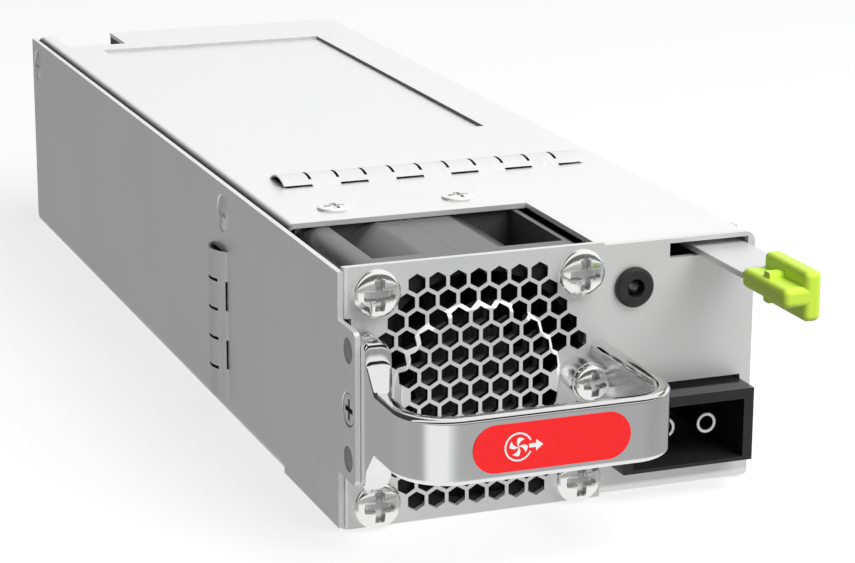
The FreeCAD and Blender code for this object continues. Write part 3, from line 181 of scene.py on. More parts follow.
def millimetres_from(material, centre):
    """Object coordinates in millimetres from a centre, as three output sockets."""
    tree = material.node_tree
    coordinate = tree.nodes.new("ShaderNodeTexCoord")
    mapping = tree.nodes.new("ShaderNodeMapping")
    mapping.inputs["Scale"].default_value = (1000.0, 1000.0, 1000.0)
    mapping.inputs["Location"].default_value = [-1000.0 * value for value in centre]
    split = tree.nodes.new("ShaderNodeSeparateXYZ")
    tree.links.new(coordinate.outputs["Object"], mapping.inputs["Vector"])
    tree.links.new(mapping.outputs["Vector"], split.inputs["Vector"])
    return split.outputs["X"], split.outputs["Y"], split.outputs["Z"]


def inside_box(material, low, high):
    """1 inside a box given by two corners in metres and 0 outside, as the product of three tests."""
    low, high = np.array(low), np.array(high)
    halves = 500.0 * (high - low)
    coords = millimetres_from(material, (low + high) / 2)
    return product(material, *[near(material, coord, 0.0, float(half)) for coord, half in zip(coords, halves)])


def paint_over(material, mask, color):
    """Mix a colour over a material's own colour where a mask is 1."""
    tree = material.node_tree
    base = shader_of(material).inputs["Base Color"]
    mix = tree.nodes.new("ShaderNodeMix")
    mix.data_type = "RGBA"
    mix.inputs["B"].default_value = (*color, 1.0)
    tree.links.new(mask, mix.inputs["Factor"])
    tree.links.new(base.links[0].from_socket, mix.inputs["A"])
    tree.links.new(mix.outputs["Result"], base)


case_metal = 0.70
case_finish = new_finish("zinc_sheet", (0.88, 0.88, 0.88), case_metal, 0.42)
vary(case_finish, "Base Color", noise_on(case_finish, 38.0, 3.0), (0.865, 0.867, 0.870), (0.895, 0.895, 0.893))
case_grain = noise_on(case_finish, 2600.0, 2.0, (1.0, 0.25, 1.0))
vary(case_finish, "Roughness", case_grain, 0.36, 0.48)
grain_bump(case_finish, case_grain, 0.00003, 0.25)
# Painted shade: the wall and the top are painted near black under the finger strips, where the arches shade
# them.
pad_edge, pad_shade_color = 0.0004, (0.012, 0.012, 0.012)
side_low, side_high = (np.array(corner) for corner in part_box("side_finger_strip"))
wall_x = side_high[0]
side_pad_shade = inside_box(case_finish, (wall_x - pad_edge, *(side_low[1:] + pad_edge)),
                      (wall_x + pad_edge, *(side_high[1:] - pad_edge)))
paint_over(case_finish, side_pad_shade, pad_shade_color)
dress(case_finish, "base_tray", "fan_bracket", "wall_screws")

slot_finish = finish_copy(case_finish, "zinc_screw")
flush_low, flush_high = (np.array(corner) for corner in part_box("handle_side_screw"))
flush_r, flush_rim, recess_start = float(500.0 * (flush_high[2] - flush_low[2])), 0.2, 0.12
flush_face = (flush_low[0], *(flush_low + flush_high)[1:] / 2)
slot_in, slot_across, slot_up = millimetres_from(slot_finish, flush_face)
# Painted shade: the crossed slot and the gap below the head's face are painted dark, and a ring at its rim
# darker.
paint_over(slot_finish, math_node(slot_finish, "GREATER_THAN", slot_in, recess_start), (0.08, 0.08, 0.08))
slot_out = distance(slot_finish, slot_across, slot_up)
rim_shade = math_node(slot_finish, "GREATER_THAN", slot_out, flush_r - flush_rim)
paint_over(slot_finish, rim_shade, (0.10, 0.10, 0.10))
dress(slot_finish, "handle_side_screw")

cover_finish = finish_copy(case_finish, "zinc_cover")
cover_low, cover_high = (np.array(corner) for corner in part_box("top_cover"))
strip_low, strip_high = (np.array(corner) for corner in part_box("top_finger_strip"))
cover_z = strip_low[2]
# Painted light: the cover's top and its recess floor are painted brighter than the rest of the sheet.
top_depth, top_light_share = 0.65, 0.75
top_up = millimetres_from(cover_finish, (0.0, 0.0, cover_z))[2]
painted_light_top = math_node(cover_finish, "GREATER_THAN", top_up, -top_depth)
paint_over(cover_finish, product(cover_finish, painted_light_top, top_light_share), (0.98, 0.98, 0.98))
top_pad_shade = inside_box(cover_finish, (*(strip_low[:2] + pad_edge), cover_z - pad_edge),
                     (*(strip_high[:2] - pad_edge), cover_z + pad_edge))
paint_over(cover_finish, top_pad_shade, pad_shade_color)
# Painted shade: the recess's rear step is painted a little darker, and its right step much darker.
recess_right, recess_rear, step_h, step_t = 0.0108, 0.018, 0.0007, 0.00003
step_x, step_y = cover_high[0] - recess_right, cover_high[1] - recess_rear
rear_step_shade = inside_box(cover_finish, (cover_low[0], step_y - step_t, cover_z - step_h),
                       (cover_high[0], step_y + step_t, cover_z - step_t))
paint_over(cover_finish, rear_step_shade, (0.85, 0.85, 0.85))
right_step_shade = inside_box(cover_finish, (step_x - step_t, cover_low[1], cover_z - step_h),
                        (step_x + step_t, step_y, cover_z - step_t))
paint_over(cover_finish, right_step_shade, (0.20, 0.20, 0.20))
# Painted shade: the cover's left fold next to the wall is painted near black, fading out over the bend.
fold_start, fold_end = 0.55, 1.8
fold_x = millimetres_from(cover_finish, cover_low)[0]
fold = map_range(cover_finish, fold_x, fold_start, fold_end, 1.0, 0.0, smooth=True)
paint_over(cover_finish, fold, (0.03, 0.03, 0.03))
dress(cover_finish, "top_cover")


# Front panel: the same sheet, punched with a hexagon grille whose round middle is pressed forward.
# The field's rim is painted pale as a painted highlight, and the walls of the holes are painted dark as painted
# shade.
panel_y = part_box("handle")[1][1]
screws_low, screws_high = (np.array(corner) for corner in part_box("fan_screws"))
fan_x = (screws_low[0] + screws_high[0]) / 2
fan_z = (screws_low[2] + screws_high[2]) / 2
field_r, field_slope, field_rise, grille_half = 13.1, 0.8, 1.0, 17.0
shade_start, rim_edge, rim_loss = 0.08, 0.1, 0.50
panel_finish = finish_copy(case_finish, "zinc_grille")
panel_math = functools.partial(math_node, panel_finish)
across, deep, up = millimetres_from(panel_finish, (fan_x, panel_y, fan_z))
out = distance(panel_finish, across, up)
front = map_range(panel_finish, out, field_r - field_slope, field_r, -field_rise, 0.0)
# Painted shade: the walls of the holes and the panel's back within the grille are painted near black.
behind = panel_math("GREATER_THAN", panel_math("SUBTRACT", deep, front), shade_start)
in_grille = [near(panel_finish, value, 0.0, grille_half) for value in (across, up)]
# Painted highlight: the field's sloped rim is painted pale and given less metal.
rim = near(panel_finish, out, field_r - field_slope / 2, field_slope / 2 + rim_edge)
paint_over(panel_finish, rim, (0.95, 0.95, 0.95))
paint_over(panel_finish, product(panel_finish, behind, *in_grille), (0.035, 0.035, 0.036))
panel_metal = panel_math("SUBTRACT", case_metal, panel_math("MULTIPLY", rim, rim_loss))
panel_finish.node_tree.links.new(panel_metal, shader_of(panel_finish).inputs["Metallic"])
dress(panel_finish, "front_panel")


# Finger strips: thin tinned spring sheet, arched and slit into fingers, spot-welded to top and wall.
# The rolled sheet has fine lines along the arch, and the slit walls between the fingers are painted dark as
# painted shade.
finger_finish = new_finish("tinned_spring_sheet", (0.82, 0.82, 0.82), 0.60, 0.34)
finger_lines = noise_on(finger_finish, 1600.0, 2.0, (1.0, 0.1, 0.1))
vary(finger_finish, "Roughness", finger_lines, 0.31, 0.37)
vary(finger_finish, "Base Color", finger_lines, 0.79, 0.84)
slit_half, end_plain, foot_plain, slit_shade_color = 0.25, 0.001, 0.0016, (0.015, 0.015, 0.015)


def slit_walls(material, low, high, axis, fingers):
    """1 within a quarter millimetre of a slit: the distance to the nearest multiple of the finger pitch."""
    pitch = 1000.0 * (high[axis] - low[axis]) / fingers
    place = math_node(material, "DIVIDE", millimetres_from(material, low)[axis], pitch)
    off = math_node(material, "MULTIPLY", math_node(material, "PINGPONG", place, 0.5), pitch)
    start, end = np.array(low), np.array(high)
    start[axis], end[axis] = start[axis] + end_plain, end[axis] - end_plain
    start[1] += foot_plain
    return product(material, math_node(material, "LESS_THAN", off, slit_half), inside_box(material, start, end))


# Painted shade: the walls of the slits between the fingers are painted near black.
top_fingers = finish_copy(finger_finish, "tinned_top_fingers")
paint_over(top_fingers, slit_walls(top_fingers, strip_low, strip_high, axis=0, fingers=11), slit_shade_color)
dress(top_fingers, "top_finger_strip")
side_fingers = finish_copy(finger_finish, "tinned_side_fingers")
paint_over(side_fingers, slit_walls(side_fingers, side_low, side_high, axis=2, fingers=5), slit_shade_color)
dress(side_fingers, "side_finger_strip")


# Fan: square glass-filled black moulding with a round barrel, its seven-bladed rotor and the winding.
# The moulding has a soft sheen, so that it looks grey where it is seen at a low angle. The front flange
# that meets the panel has less sheen and is painted darker, as painted shade behind the panel's holes.
def mesh_piece(name, points, faces, material, body=None, smooth_deg=34.0, depth=None):
    """A mesh object at the origin from point and face arrays, smooth up to an angle between faces.

    Points that coincide, as at a pole, are welded. A depth at each point is kept as an attribute."""
    mesh = bpy.data.meshes.new(name)
    mesh.from_pydata(points.tolist(), [], faces.tolist())
    if depth is not None:
        mesh.attributes.new("depth", "FLOAT", "POINT").data.foreach_set("value", depth.ravel())
    welded = bmesh.new()
    welded.from_mesh(mesh)
    bmesh.ops.remove_doubles(welded, verts=welded.verts, dist=1e-7)
    welded.to_mesh(mesh)
    welded.free()
    mesh.shade_smooth()
    mesh.set_sharp_from_angle(angle=math.radians(smooth_deg))
    mesh.materials.append(material)
    piece = bpy.data.objects.new(name, mesh)
    scene.collection.objects.link(piece)
    if body:
        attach(piece, body)
    return piece


def grid_faces(rows, columns):
    """Quads between neighbouring points of a grid closed round its columns.

    They are wound so that row x column points outwards."""
    row = np.arange(rows - 1)[:, None] * columns
    column = np.arange(columns)[None, :]
    right = (column + 1) % columns
    corners = [row + column, row + right, row + columns + right, row + columns + column]
    return np.stack(corners, -1).reshape(-1, 4)


def joined(parts):
    """Several surfaces as one: their points end to end, and faces that count on from the points before.

    Depths, where the surfaces have them, are put end to end as well."""
    points, faces, *depths = zip(*parts)
    starts = np.cumsum([0] + [len(part) for part in points[:-1]])
    counted = [part + start for part, start in zip(faces, starts)]
    return [np.concatenate(arrays) for arrays in (points, counted, *depths)]


def closed_ends(grid):
    """The points of a grid with a row before and after it that close each end to its middle."""
    ends = [np.broadcast_to(row.mean(0), (1, *row.shape)) for row in (grid[0], grid[-1])]
    return np.concatenate([ends[0], grid, ends[1]]).reshape(-1, 3)


def barrel_lid(centre, half, crest_r, root_r, left, right, front, rear, side):
    """A lid over the fan's barrel: across X its top is the lower of a plane and a circle's arc.

    Each row is one X with the four corners of its section along Y, and the end rows close to a point."""
    x, least_t = np.linspace(left, right, 60), 0.0002
    top = np.minimum(half, np.sqrt(crest_r ** 2 - (x - centre[0]) ** 2))
    root = np.minimum(np.sqrt(np.maximum(root_r ** 2 - (x - centre[0]) ** 2, 0.0)), top - least_t)
    y = np.broadcast_to(np.array([front, rear, rear, front]), (len(x), 4))
    z = centre[1] + side * np.stack([top, top, root, root], -1)
    grid = np.stack([np.broadcast_to(x[:, None], (len(x), 4)), y, z], -1)
    faces = grid_faces(len(x) + 2, 4)
    return closed_ends(grid), faces[:, ::-1] if side > 0 else faces


fan_low, fan_high = (np.array(corner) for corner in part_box("fan_frame"))
fan_finish = new_finish("fan_moulding", (0.052, 0.052, 0.053), 0.0, 0.28)
fan_grain = noise_on(fan_finish, 1500.0, 4.0)
vary(fan_finish, "Base Color", fan_grain, (0.0505, 0.0505, 0.0515), (0.0535, 0.0535, 0.0545))
vary(fan_finish, "Roughness", fan_grain, 0.27, 0.29)
face_t, sheen, sheen_loss = 0.0003, 0.85, 0.75
# Painted shade: the front flange is painted darker than the moulding, and its sheen is cut.
matt_shaded_face = inside_box(fan_finish, (fan_low[0], fan_low[1] - face_t, fan_low[2]),
                       (fan_high[0], fan_low[1] + face_t, fan_high[2]))
paint_over(fan_finish, matt_shaded_face, (0.020, 0.020, 0.020))
fan_sheen = math_node(fan_finish, "SUBTRACT", sheen, product(fan_finish, matt_shaded_face, sheen_loss))
fan_finish.node_tree.links.new(fan_sheen, shader_of(fan_finish).inputs["Specular IOR Level"])
dress(fan_finish, "fan_frame")

lid_gap, crest_r, root_r = 0.00002, 0.0196, 0.0182
lid_half = (fan_high[2] - fan_low[2]) / 2 - lid_gap
rail_left, rail_right, flange_front, flange_rear = 0.0051, 0.0020, 0.0068, 0.0017
lid_points, lid_faces = joined([
    barrel_lid((fan_x, fan_z), lid_half, crest_r, root_r, fan_low[0] + rail_left, fan_high[0] - rail_right,
               fan_low[1] + flange_front, fan_high[1] - flange_rear, side)
    for side in (1, -1)
])
barrel = mesh_piece("fan_barrel_lids", lid_points, lid_faces, fan_finish, "module", smooth_deg=30.0)

rotor_finish = new_finish("rotor_moulding", (0.05, 0.05, 0.052), 0.0, 0.42)
rotor_grain = noise_on(rotor_finish, 1100.0, 3.0)
vary(rotor_finish, "Base Color", rotor_grain, (0.042, 0.042, 0.044), (0.058, 0.058, 0.060))
dress(rotor_finish, "fan_rotor")

copper_finish = new_finish("bare_copper", (0.72, 0.40, 0.24), 0.9, 0.36)
copper_patches = noise_on(copper_finish, 320.0, 4.0)
vary(copper_finish, "Base Color", copper_patches, (0.62, 0.32, 0.19), (0.78, 0.46, 0.29))
dress(copper_finish, "fan_stator", "input_busbars")

lead_finish = new_finish("lead_sleeve", (0.05, 0.05, 0.05), 0.0, 0.6)
lead_patches = noise_on(lead_finish, 700.0, 3.0)
vary(lead_finish, "Base Color", lead_patches, (0.040, 0.040, 0.042), (0.062, 0.062, 0.062))
dress(lead_finish, "fan_lead")


# Grille guard: a black moulded honeycomb that stands behind the raised field, one cell to each hole.
# It is clipped into the back of the panel and stiffens the thin webs.
def honeycomb(centre, pitch, web, wall, depth, reach):
    """Six-sided tubes on a triangular pattern, kept where a whole cell lies within a reach of the centre.

    Each tube is a rectangle, wall by depth, carried round the six corners of its cell."""
    row, column = np.mgrid[-5:6, -5:6]
    x = (column + 0.5 * (np.abs(row) % 2)) * pitch
    z = row * pitch * math.sqrt(3) / 2
    corner_r = (pitch - web) / math.sqrt(3)
    keep = np.hypot(x, z) + corner_r < reach
    x, z = x[keep][:, None, None], z[keep][:, None, None]
    turn = np.radians(90 + 60 * np.arange(6))[None, :, None]
    radius = corner_r + np.array([0.0, 0.0, wall, wall])
    deep = np.broadcast_to(np.array([0.0, depth, depth, 0.0]), (len(x), 6, 4))
    points = np.stack([x + radius * np.cos(turn), deep, z + radius * np.sin(turn)], -1) + np.array(centre)
    corner, side = np.arange(6)[:, None], np.arange(4)[None, :]
    after, beside = (corner + 1) % 6, (side + 1) % 4
    quads = np.stack([after * 4 + side, after * 4 + beside, corner * 4 + beside, corner * 4 + side], -1)
    return points.reshape(-1, 3), (np.arange(len(x))[:, None, None, None] * 24 + quads).reshape(-1, 4)


guard_finish = new_finish("guard_moulding", (0.21, 0.21, 0.21), 0.0, 0.38)
vary(guard_finish, "Base Color", noise_on(guard_finish, 1300.0, 3.0), 0.20, 0.22)
cell_pitch, cell_web, cell_wall, cell_l = 0.00319, 0.00056, 0.00024, 0.0016
guard_gap, guard_over = 0.00003, 0.0003
guard_y = panel_y + guard_gap
guard_reach = (field_r - field_slope) / 1000.0 + guard_over
points, faces = honeycomb((fan_x, guard_y, fan_z), cell_pitch, cell_web, cell_wall, cell_l, guard_reach)
guard = mesh_piece("grille_guard", points, faces, guard_finish, "module", smooth_deg=20.0)


# Dome screws: four nickel-plated pan heads with crossed slots hold the fan through the front panel, and
# a smaller one holds the handle's boss. Each is cold-formed and tumbled bright. Two low satin heads of
# the same kind hold the cover to the fan bracket.
def smooth_step(value):
    """0 below 0, 1 above 1 and 3v^2 - 2v^3 between."""
    value = np.clip(value, 0.0, 1.0)
    return value * value * (3.0 - 2.0 * value)


def screw_surface(centre, head_r, side_h, dome_h, shank_r, shank_l, slot_w, slot_share, upright=False):
    """A screw that faces front or up, turned from a profile: a quarter ellipse, its side, seat and shank.

    The head sinks by a depth where the crossed slots lie: the larger of two bars, each a product of
    smooth steps across its width and along its length. Gives points, faces and the depths."""
    lean = np.linspace(0.0, np.pi / 2, 44)
    radius = np.concatenate([head_r * np.sin(lean), [head_r, shank_r, shank_r, 0.0]])
    height = np.concatenate([side_h + dome_h * np.cos(lean), [0.0, 0.0, -shank_l, -shank_l]])
    around = np.linspace(0.0, 2 * np.pi, 128, endpoint=False)
    x = radius[:, None] * np.cos(around)
    z = radius[:, None] * np.sin(around)
    blend = slot_w * 0.2
    in_width = [smooth_step((slot_w / 2 - np.abs(value)) / blend + 0.5) for value in (x, z)]
    in_length = [smooth_step((head_r * slot_share - np.abs(value)) / blend + 0.5) for value in (x, z)]
    on_head = (np.arange(len(radius)) < len(lean))[:, None]
    depth = np.maximum(in_width[1] * in_length[0], in_width[0] * in_length[1]) * on_head
    y = height[:, None] - depth * dome_h * slot_share
    points = np.stack([x, z, y] if upright else [x, -y, z], -1) + np.array(centre)
    return points.reshape(-1, 3), grid_faces(len(radius), len(around)), depth.ravel()


def slot_depth(material):
    """The depth that a screw's surface keeps at each point, as an output socket."""
    attribute = material.node_tree.nodes.new("ShaderNodeAttribute")
    attribute.attribute_name = "depth"
    return attribute.outputs["Fac"]


screw_finish = new_finish("bright_nickel", (0.90, 0.90, 0.89), 0.90, 0.13)
vary(screw_finish, "Roughness", noise_on(screw_finish, 900.0, 4.0), 0.10, 0.16)
# Painted shade: the slots are painted darker by their depth.
vary(screw_finish, "Base Color", slot_depth(screw_finish), (0.92, 0.92, 0.91), (0.60, 0.60, 0.60), 0.2, 0.8)
dress(screw_finish, "board_screws")

head_r, head_side, head_dome, slot_w, slot_share = 0.0036, 0.0009, 0.0016, 0.00125, 0.62
shank_r, shank_l, cad_head_r = 0.0015, 0.0062, 0.0034
half_set = (screws_high[0] - screws_low[0]) / 2 - cad_head_r
points, faces, depth = joined([
    screw_surface((x, panel_y, z), head_r, head_side, head_dome, shank_r, shank_l, slot_w, slot_share)
    for x in (fan_x - half_set, fan_x + half_set) for z in (fan_z - half_set, fan_z + half_set)
])
fan_heads = mesh_piece("fan_screw_set", points, faces, screw_finish, "module", depth=depth)
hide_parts("fan_screws")

cap_finish = new_finish("satin_nickel", (0.90, 0.90, 0.89), 0.80, 0.24)
vary(cap_finish, "Roughness", noise_on(cap_finish, 900.0, 4.0), 0.20, 0.28)
# Painted shade: the slots are painted a little darker by their depth.
vary(cap_finish, "Base Color", slot_depth(cap_finish), (0.94, 0.94, 0.93), (0.84, 0.84, 0.84), 0.2, 0.8)
cap_low, cap_high = (np.array(corner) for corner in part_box("cover_screws"))
cap_r, cap_side, cap_dome, cap_slot, cap_shank_l, cad_cap_r = 0.0026, 0.00015, 0.00050, 0.0008, 0.0040, 0.0025
cap_y = (cap_low[1] + cap_high[1]) / 2
points, faces, depth = joined([
    screw_surface((x, cap_y, cover_z), cap_r, cap_side, cap_dome, shank_r, cap_shank_l, cap_slot, slot_share,
                  upright=True)
    for x in (cap_low[0] + cad_cap_r, cap_high[0] - cad_cap_r)
])
cover_heads = mesh_piece("cover_screw_set", points, faces, cap_finish, "module", depth=depth)
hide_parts("cover_screws")

foot_low, foot_high = (np.array(corner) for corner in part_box("handle_foot_screw"))
boss_l, foot_r, foot_side, foot_dome = 0.0044, 0.0028, 0.0005, 0.0015
foot_shank_r, foot_shank_l, foot_slot = 0.0010, 0.0050, 0.0010
foot_seat = ((foot_low[0] + foot_high[0]) / 2, panel_y - boss_l, (foot_low[2] + foot_high[2]) / 2)
points, faces, depth = screw_surface(foot_seat, foot_r, foot_side, foot_dome, foot_shank_r, foot_shank_l,
                                     foot_slot, slot_share)
foot_head = mesh_piece("handle_boss_screw", points, faces, screw_finish, "module", depth=depth)
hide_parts("handle_foot_screw")


# Handle: a thick strap bent round three sides with a tall tapered root on the left, die-cast and bright
# plated, and brushed inside its right arm. Two dull pegs and a screw hold the root in the wall's tab, and
# a boss stands on the panel.
def rounded_outline(width, height, corner_in, corner_out, steps=9):
    """A rectangle with a quarter circle at each corner, as offsets from its outer edge and its middle."""
    quarter = np.linspace(0.0, np.pi / 2, steps)
    corners = (
        (width - corner_in, height / 2 - corner_in, corner_in, 0.0),
        (corner_out, height / 2 - corner_out, corner_out, np.pi / 2),
        (corner_out, corner_out - height / 2, corner_out, np.pi),
        (width - corner_in, corner_in - height / 2, corner_in, 1.5 * np.pi),
    )
    across = np.concatenate([x + r * np.cos(start + quarter) for x, z, r, start in corners])
    up = np.concatenate([z + r * np.sin(start + quarter) for x, z, r, start in corners])
    return across, up


def strap_path(left, right, front, neck, foot, r_left, r_right):
    """The strap's outer line seen from above: a run, a quarter circle, a run, a quarter circle and a run.

    Gives the points and the inward directions, which turn with the quarter circles."""
    turn_left = np.linspace(np.pi, 1.5 * np.pi, 40)
    turn_right = np.linspace(1.5 * np.pi, 2.0 * np.pi, 36)
    leg = np.linspace(neck, front + r_left, 12, endpoint=False)
    face = np.linspace(left + r_left, right - r_right, 24)[1:-1]
    back = np.linspace(front + r_right, foot, 14)[1:]
    x = np.concatenate([np.full_like(leg, left), left + r_left + r_left * np.cos(turn_left), face,
                        right - r_right + r_right * np.cos(turn_right), np.full_like(back, right)])
    y = np.concatenate([leg, front + r_left + r_left * np.sin(turn_left), np.full_like(face, front),
                        front + r_right + r_right * np.sin(turn_right), back])
    heading = np.concatenate([np.full_like(leg, np.pi), turn_left, np.full_like(face, 1.5 * np.pi),
                              turn_right, np.full_like(back, 2.0 * np.pi)])
    return x, y, -np.cos(heading), -np.sin(heading)


def round_stud(foot, across, out, radius, length, edge):
    """A round stud turned from a profile: its end, a quarter-circle edge, its side and its foot.

    Columns run round the stud through the direction across it and Z. Each row is one point of the profile."""
    quarter = np.linspace(np.pi / 2, 0.0, 7)
    profile_r = np.concatenate([[0.0], radius - edge + edge * np.cos(quarter), [radius, 0.0]])[:, None, None]
    along = np.concatenate([[length], length - edge + edge * np.sin(quarter), [0.0, 0.0]])[:, None, None]
    around = np.linspace(0.0, 2 * np.pi, 72, endpoint=False)[None, :, None]
    round_it = np.cos(around) * np.array(across) + np.sin(around) * np.array([0.0, 0.0, 1.0])
    points = np.array(foot) + profile_r * round_it + along * np.array(out)
    return points.reshape(-1, 3), grid_faces(len(profile_r), 72)


handle_low, handle_high = (np.array(corner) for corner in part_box("handle"))
strap_t, strap_h, strap_edge, strap_neck, bend_left, bend_right = 0.0024, 0.0096, 0.0008, 0.0128, 0.008, 0.0072
peg_l, peg_r, peg_ahead, peg_z = 0.00075, 0.0018, 0.0043, (0.0125, 0.0287)
handle_x = handle_low[0] + peg_l
handle_z = (handle_low[2] + handle_high[2]) / 2
path_x, path_y, in_x, in_y = strap_path(handle_x, handle_high[0], handle_low[1], panel_y - strap_neck, panel_y,
                                        bend_left, bend_right)
section_in, section_up = rounded_outline(strap_t, strap_h, strap_edge, strap_edge)
strap_grid = np.stack([
    path_x[:, None] + in_x[:, None] * section_in,
    path_y[:, None] + in_y[:, None] * section_in,
    np.broadcast_to(handle_z + section_up, (len(path_x), len(section_up))),
], -1)
strap_end = np.broadcast_to(strap_grid[-1:].mean(1, keepdims=True), strap_grid[-1:].shape)
strap = (np.concatenate([strap_grid, strap_end]).reshape(-1, 3),
         grid_faces(len(path_x) + 1, len(section_in))[:, ::-1])

# Each station of the root: its place along Y from the panel, width, height, inner and outer edge radius
stations = np.array([
    (0.0, 0.0040, 0.0218, 0.0018, 0.0008), (-0.0084, 0.0040, 0.0218, 0.0018, 0.0008),
    (-0.0089, 0.0040, 0.0214, 0.0018, 0.0008), (-0.0091, 0.00398, 0.0206, 0.0018, 0.0008),
    (-0.00914, 0.00397, 0.0203, 0.0018, 0.0008), (-0.00944, 0.0039, 0.0171, 0.0016, 0.0008),
    (-0.0096, 0.00385, 0.0165, 0.0016, 0.0008), (-0.0099, 0.0037, 0.0158, 0.0015, 0.0008),
    (-0.0122, 0.0027, 0.0107, 0.0010, 0.0008), (-0.0124, 0.0026, 0.0103, 0.0009, 0.0008),
    (-strap_neck, strap_t, strap_h, strap_edge, strap_edge),
])
root_rows = [rounded_outline(width, height, inner, outer) for _, width, height, inner, outer in stations]
root_grid = np.stack([
    np.stack([handle_x + across, np.full_like(across, panel_y + y), handle_z + up], -1)
    for (across, up), y in zip(root_rows, stations[:, 0])
])
root_end = np.broadcast_to(root_grid[:1].mean(1, keepdims=True), root_grid[:1].shape)
root = (np.concatenate([root_end, root_grid]).reshape(-1, 3),
        grid_faces(len(stations) + 1, len(section_in))[:, ::-1])

boss_r, boss_edge = 0.00295, 0.0003
boss_across, boss_out = (1.0, 0.0, 0.0), (0.0, -1.0, 0.0)
boss = round_stud((foot_seat[0], panel_y, handle_z), boss_across, boss_out, boss_r, boss_l, boss_edge)
plating = new_finish("bright_plating", (0.84, 0.84, 0.845), 1.0, 0.10)
plating_gloss = vary(plating, "Roughness", noise_on(plating, 260.0, 4.0, (1.0, 1.0, 3.0)), 0.06, 0.12)
arm_x, arm_z, arm_gap, brushed_more = handle_high[0] - strap_t, strap_h / 2 - strap_edge, 0.0001, 0.24
corner_x, face_y = handle_high[0] - bend_right, handle_low[1] + strap_t
brushed = inside_box(plating, (corner_x, face_y - arm_gap, handle_z - arm_z),
                     (arm_x + arm_gap, panel_y, handle_z + arm_z))
arm_gloss = math_node(plating, "ADD", plating_gloss, product(plating, brushed, brushed_more))
plating.node_tree.links.new(arm_gloss, shader_of(plating).inputs["Roughness"])
points, faces = joined([strap, root, boss])
handle = mesh_piece("plated_handle", points, faces, plating, "module", smooth_deg=40.0)
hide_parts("handle")

peg_root, peg_edge, peg_across, peg_out = 0.0008, 0.0002, (0.0, -1.0, 0.0), (-1.0, 0.0, 0.0)
peg_finish = new_finish("dull_casting", (0.40, 0.40, 0.40), 0.30, 0.5)
vary(peg_finish, "Base Color", noise_on(peg_finish, 1400.0, 3.0), 0.38, 0.43)
points, faces = joined([
    round_stud((handle_x + peg_root, panel_y - peg_ahead, z), peg_across, peg_out, peg_r, peg_l + peg_root,
               peg_edge)
    for z in peg_z
])
pegs = mesh_piece("handle_pegs", points, faces, peg_finish, "module")


# Handle label: a thin red printed film on the strap's front face. It carries a plain airflow sign in
# white: an open ring round four curved blades, and an arrow that points out of it.
label_low, label_high = (np.array(corner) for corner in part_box("handle_label"))
label_x = (label_low[0] + label_high[0]) / 2
label_z = (label_low[2] + label_high[2]) / 2
label_finish = new_finish("printed_film", (1.0, 0.02, 0.02), 0.0, 0.42)
label_grain = noise_on(label_finish, 1800.0, 3.0)
vary(label_finish, "Base Color", label_grain, (0.93, 0.016, 0.018), (0.97, 0.022, 0.022))
label_math = functools.partial(math_node, label_finish)
on_label = functools.partial(near, label_finish)
sign_left, ring_r, ring_half, gap_half = 0.0051, 1.95, 0.13, 0.42
blade_count, blade_sweep, blade_start, blade_r = 4.0, 2.2, 0.1, 1.35
shaft_half, shaft_mid, shaft_reach = 0.30, 2.1, 0.55
arrow_tip, arrow_slope, arrow_foot = 3.65, 0.8, 2.6
sign_x, _, sign_z = millimetres_from(label_finish, (label_x - sign_left, label_low[1], label_z))
sign_r = distance(label_finish, sign_x, sign_z)
sign_turn = label_math("ARCTAN2", sign_z, sign_x)
open_side = label_math("GREATER_THAN", label_math("ABSOLUTE", sign_turn), gap_half)
ring = product(label_finish, on_label(sign_r, ring_r, ring_half), open_side)
turned = label_math("MULTIPLY", sign_turn, blade_count)
swept = label_math("ADD", turned, label_math("MULTIPLY", sign_r, blade_sweep))
blade_side = label_math("GREATER_THAN", label_math("SINE", swept), blade_start)
blades = product(label_finish, blade_side, label_math("LESS_THAN", sign_r, blade_r))
shaft = product(label_finish, on_label(sign_z, 0.0, shaft_half), on_label(sign_x, shaft_mid, shaft_reach))
head_half = label_math("MULTIPLY", label_math("SUBTRACT", arrow_tip, sign_x), arrow_slope)
head = product(label_finish, on_label(sign_z, 0.0, head_half), label_math("GREATER_THAN", sign_x, arrow_foot))
printed = label_math("MAXIMUM", label_math("MAXIMUM", ring, blades), label_math("MAXIMUM", shaft, head))
paint_over(label_finish, printed, (0.90, 0.90, 0.90))
dress(label_finish, "handle_label")


# Status lamp: a round black bezel pressed into the panel round a smoked lens.
# The lens is moulded with flat facets on its end, which catch the light one by one.
black_finish = new_finish("black_moulding", (0.018, 0.018, 0.019), 0.0, 0.50)
black_grain = noise_on(black_finish, 1300.0, 4.0)
vary(black_finish, "Base Color", black_grain, (0.015, 0.015, 0.016), (0.021, 0.021, 0.022))
grain_bump(black_finish, black_grain, 0.00003, 0.2)
dress(black_finish, "led_bezel", "rear_frame", "rear_connector")


def lens_surface(centre, radius, length):
    """A lens along Y turned in eight flats: rings step back from its end, each turned by half a flat."""
    ring_r = np.array([0.0, 0.34, 0.70, 1.0, 1.0, 0.0]) * radius
    ring_y = np.array([0.0, 0.06, 0.26, 0.62, length / radius, length / radius]) * radius
    around = np.linspace(0.0, 2 * np.pi, 8, endpoint=False) + np.arange(6)[:, None] * np.pi / 8
    x = centre[0] + ring_r[:, None] * np.cos(around)
    z = centre[2] + ring_r[:, None] * np.sin(around)
    y = np.broadcast_to(centre[1] + ring_y[:, None], x.shape)
    return np.stack([x, y, z], -1).reshape(-1, 3), grid_faces(6, 8)


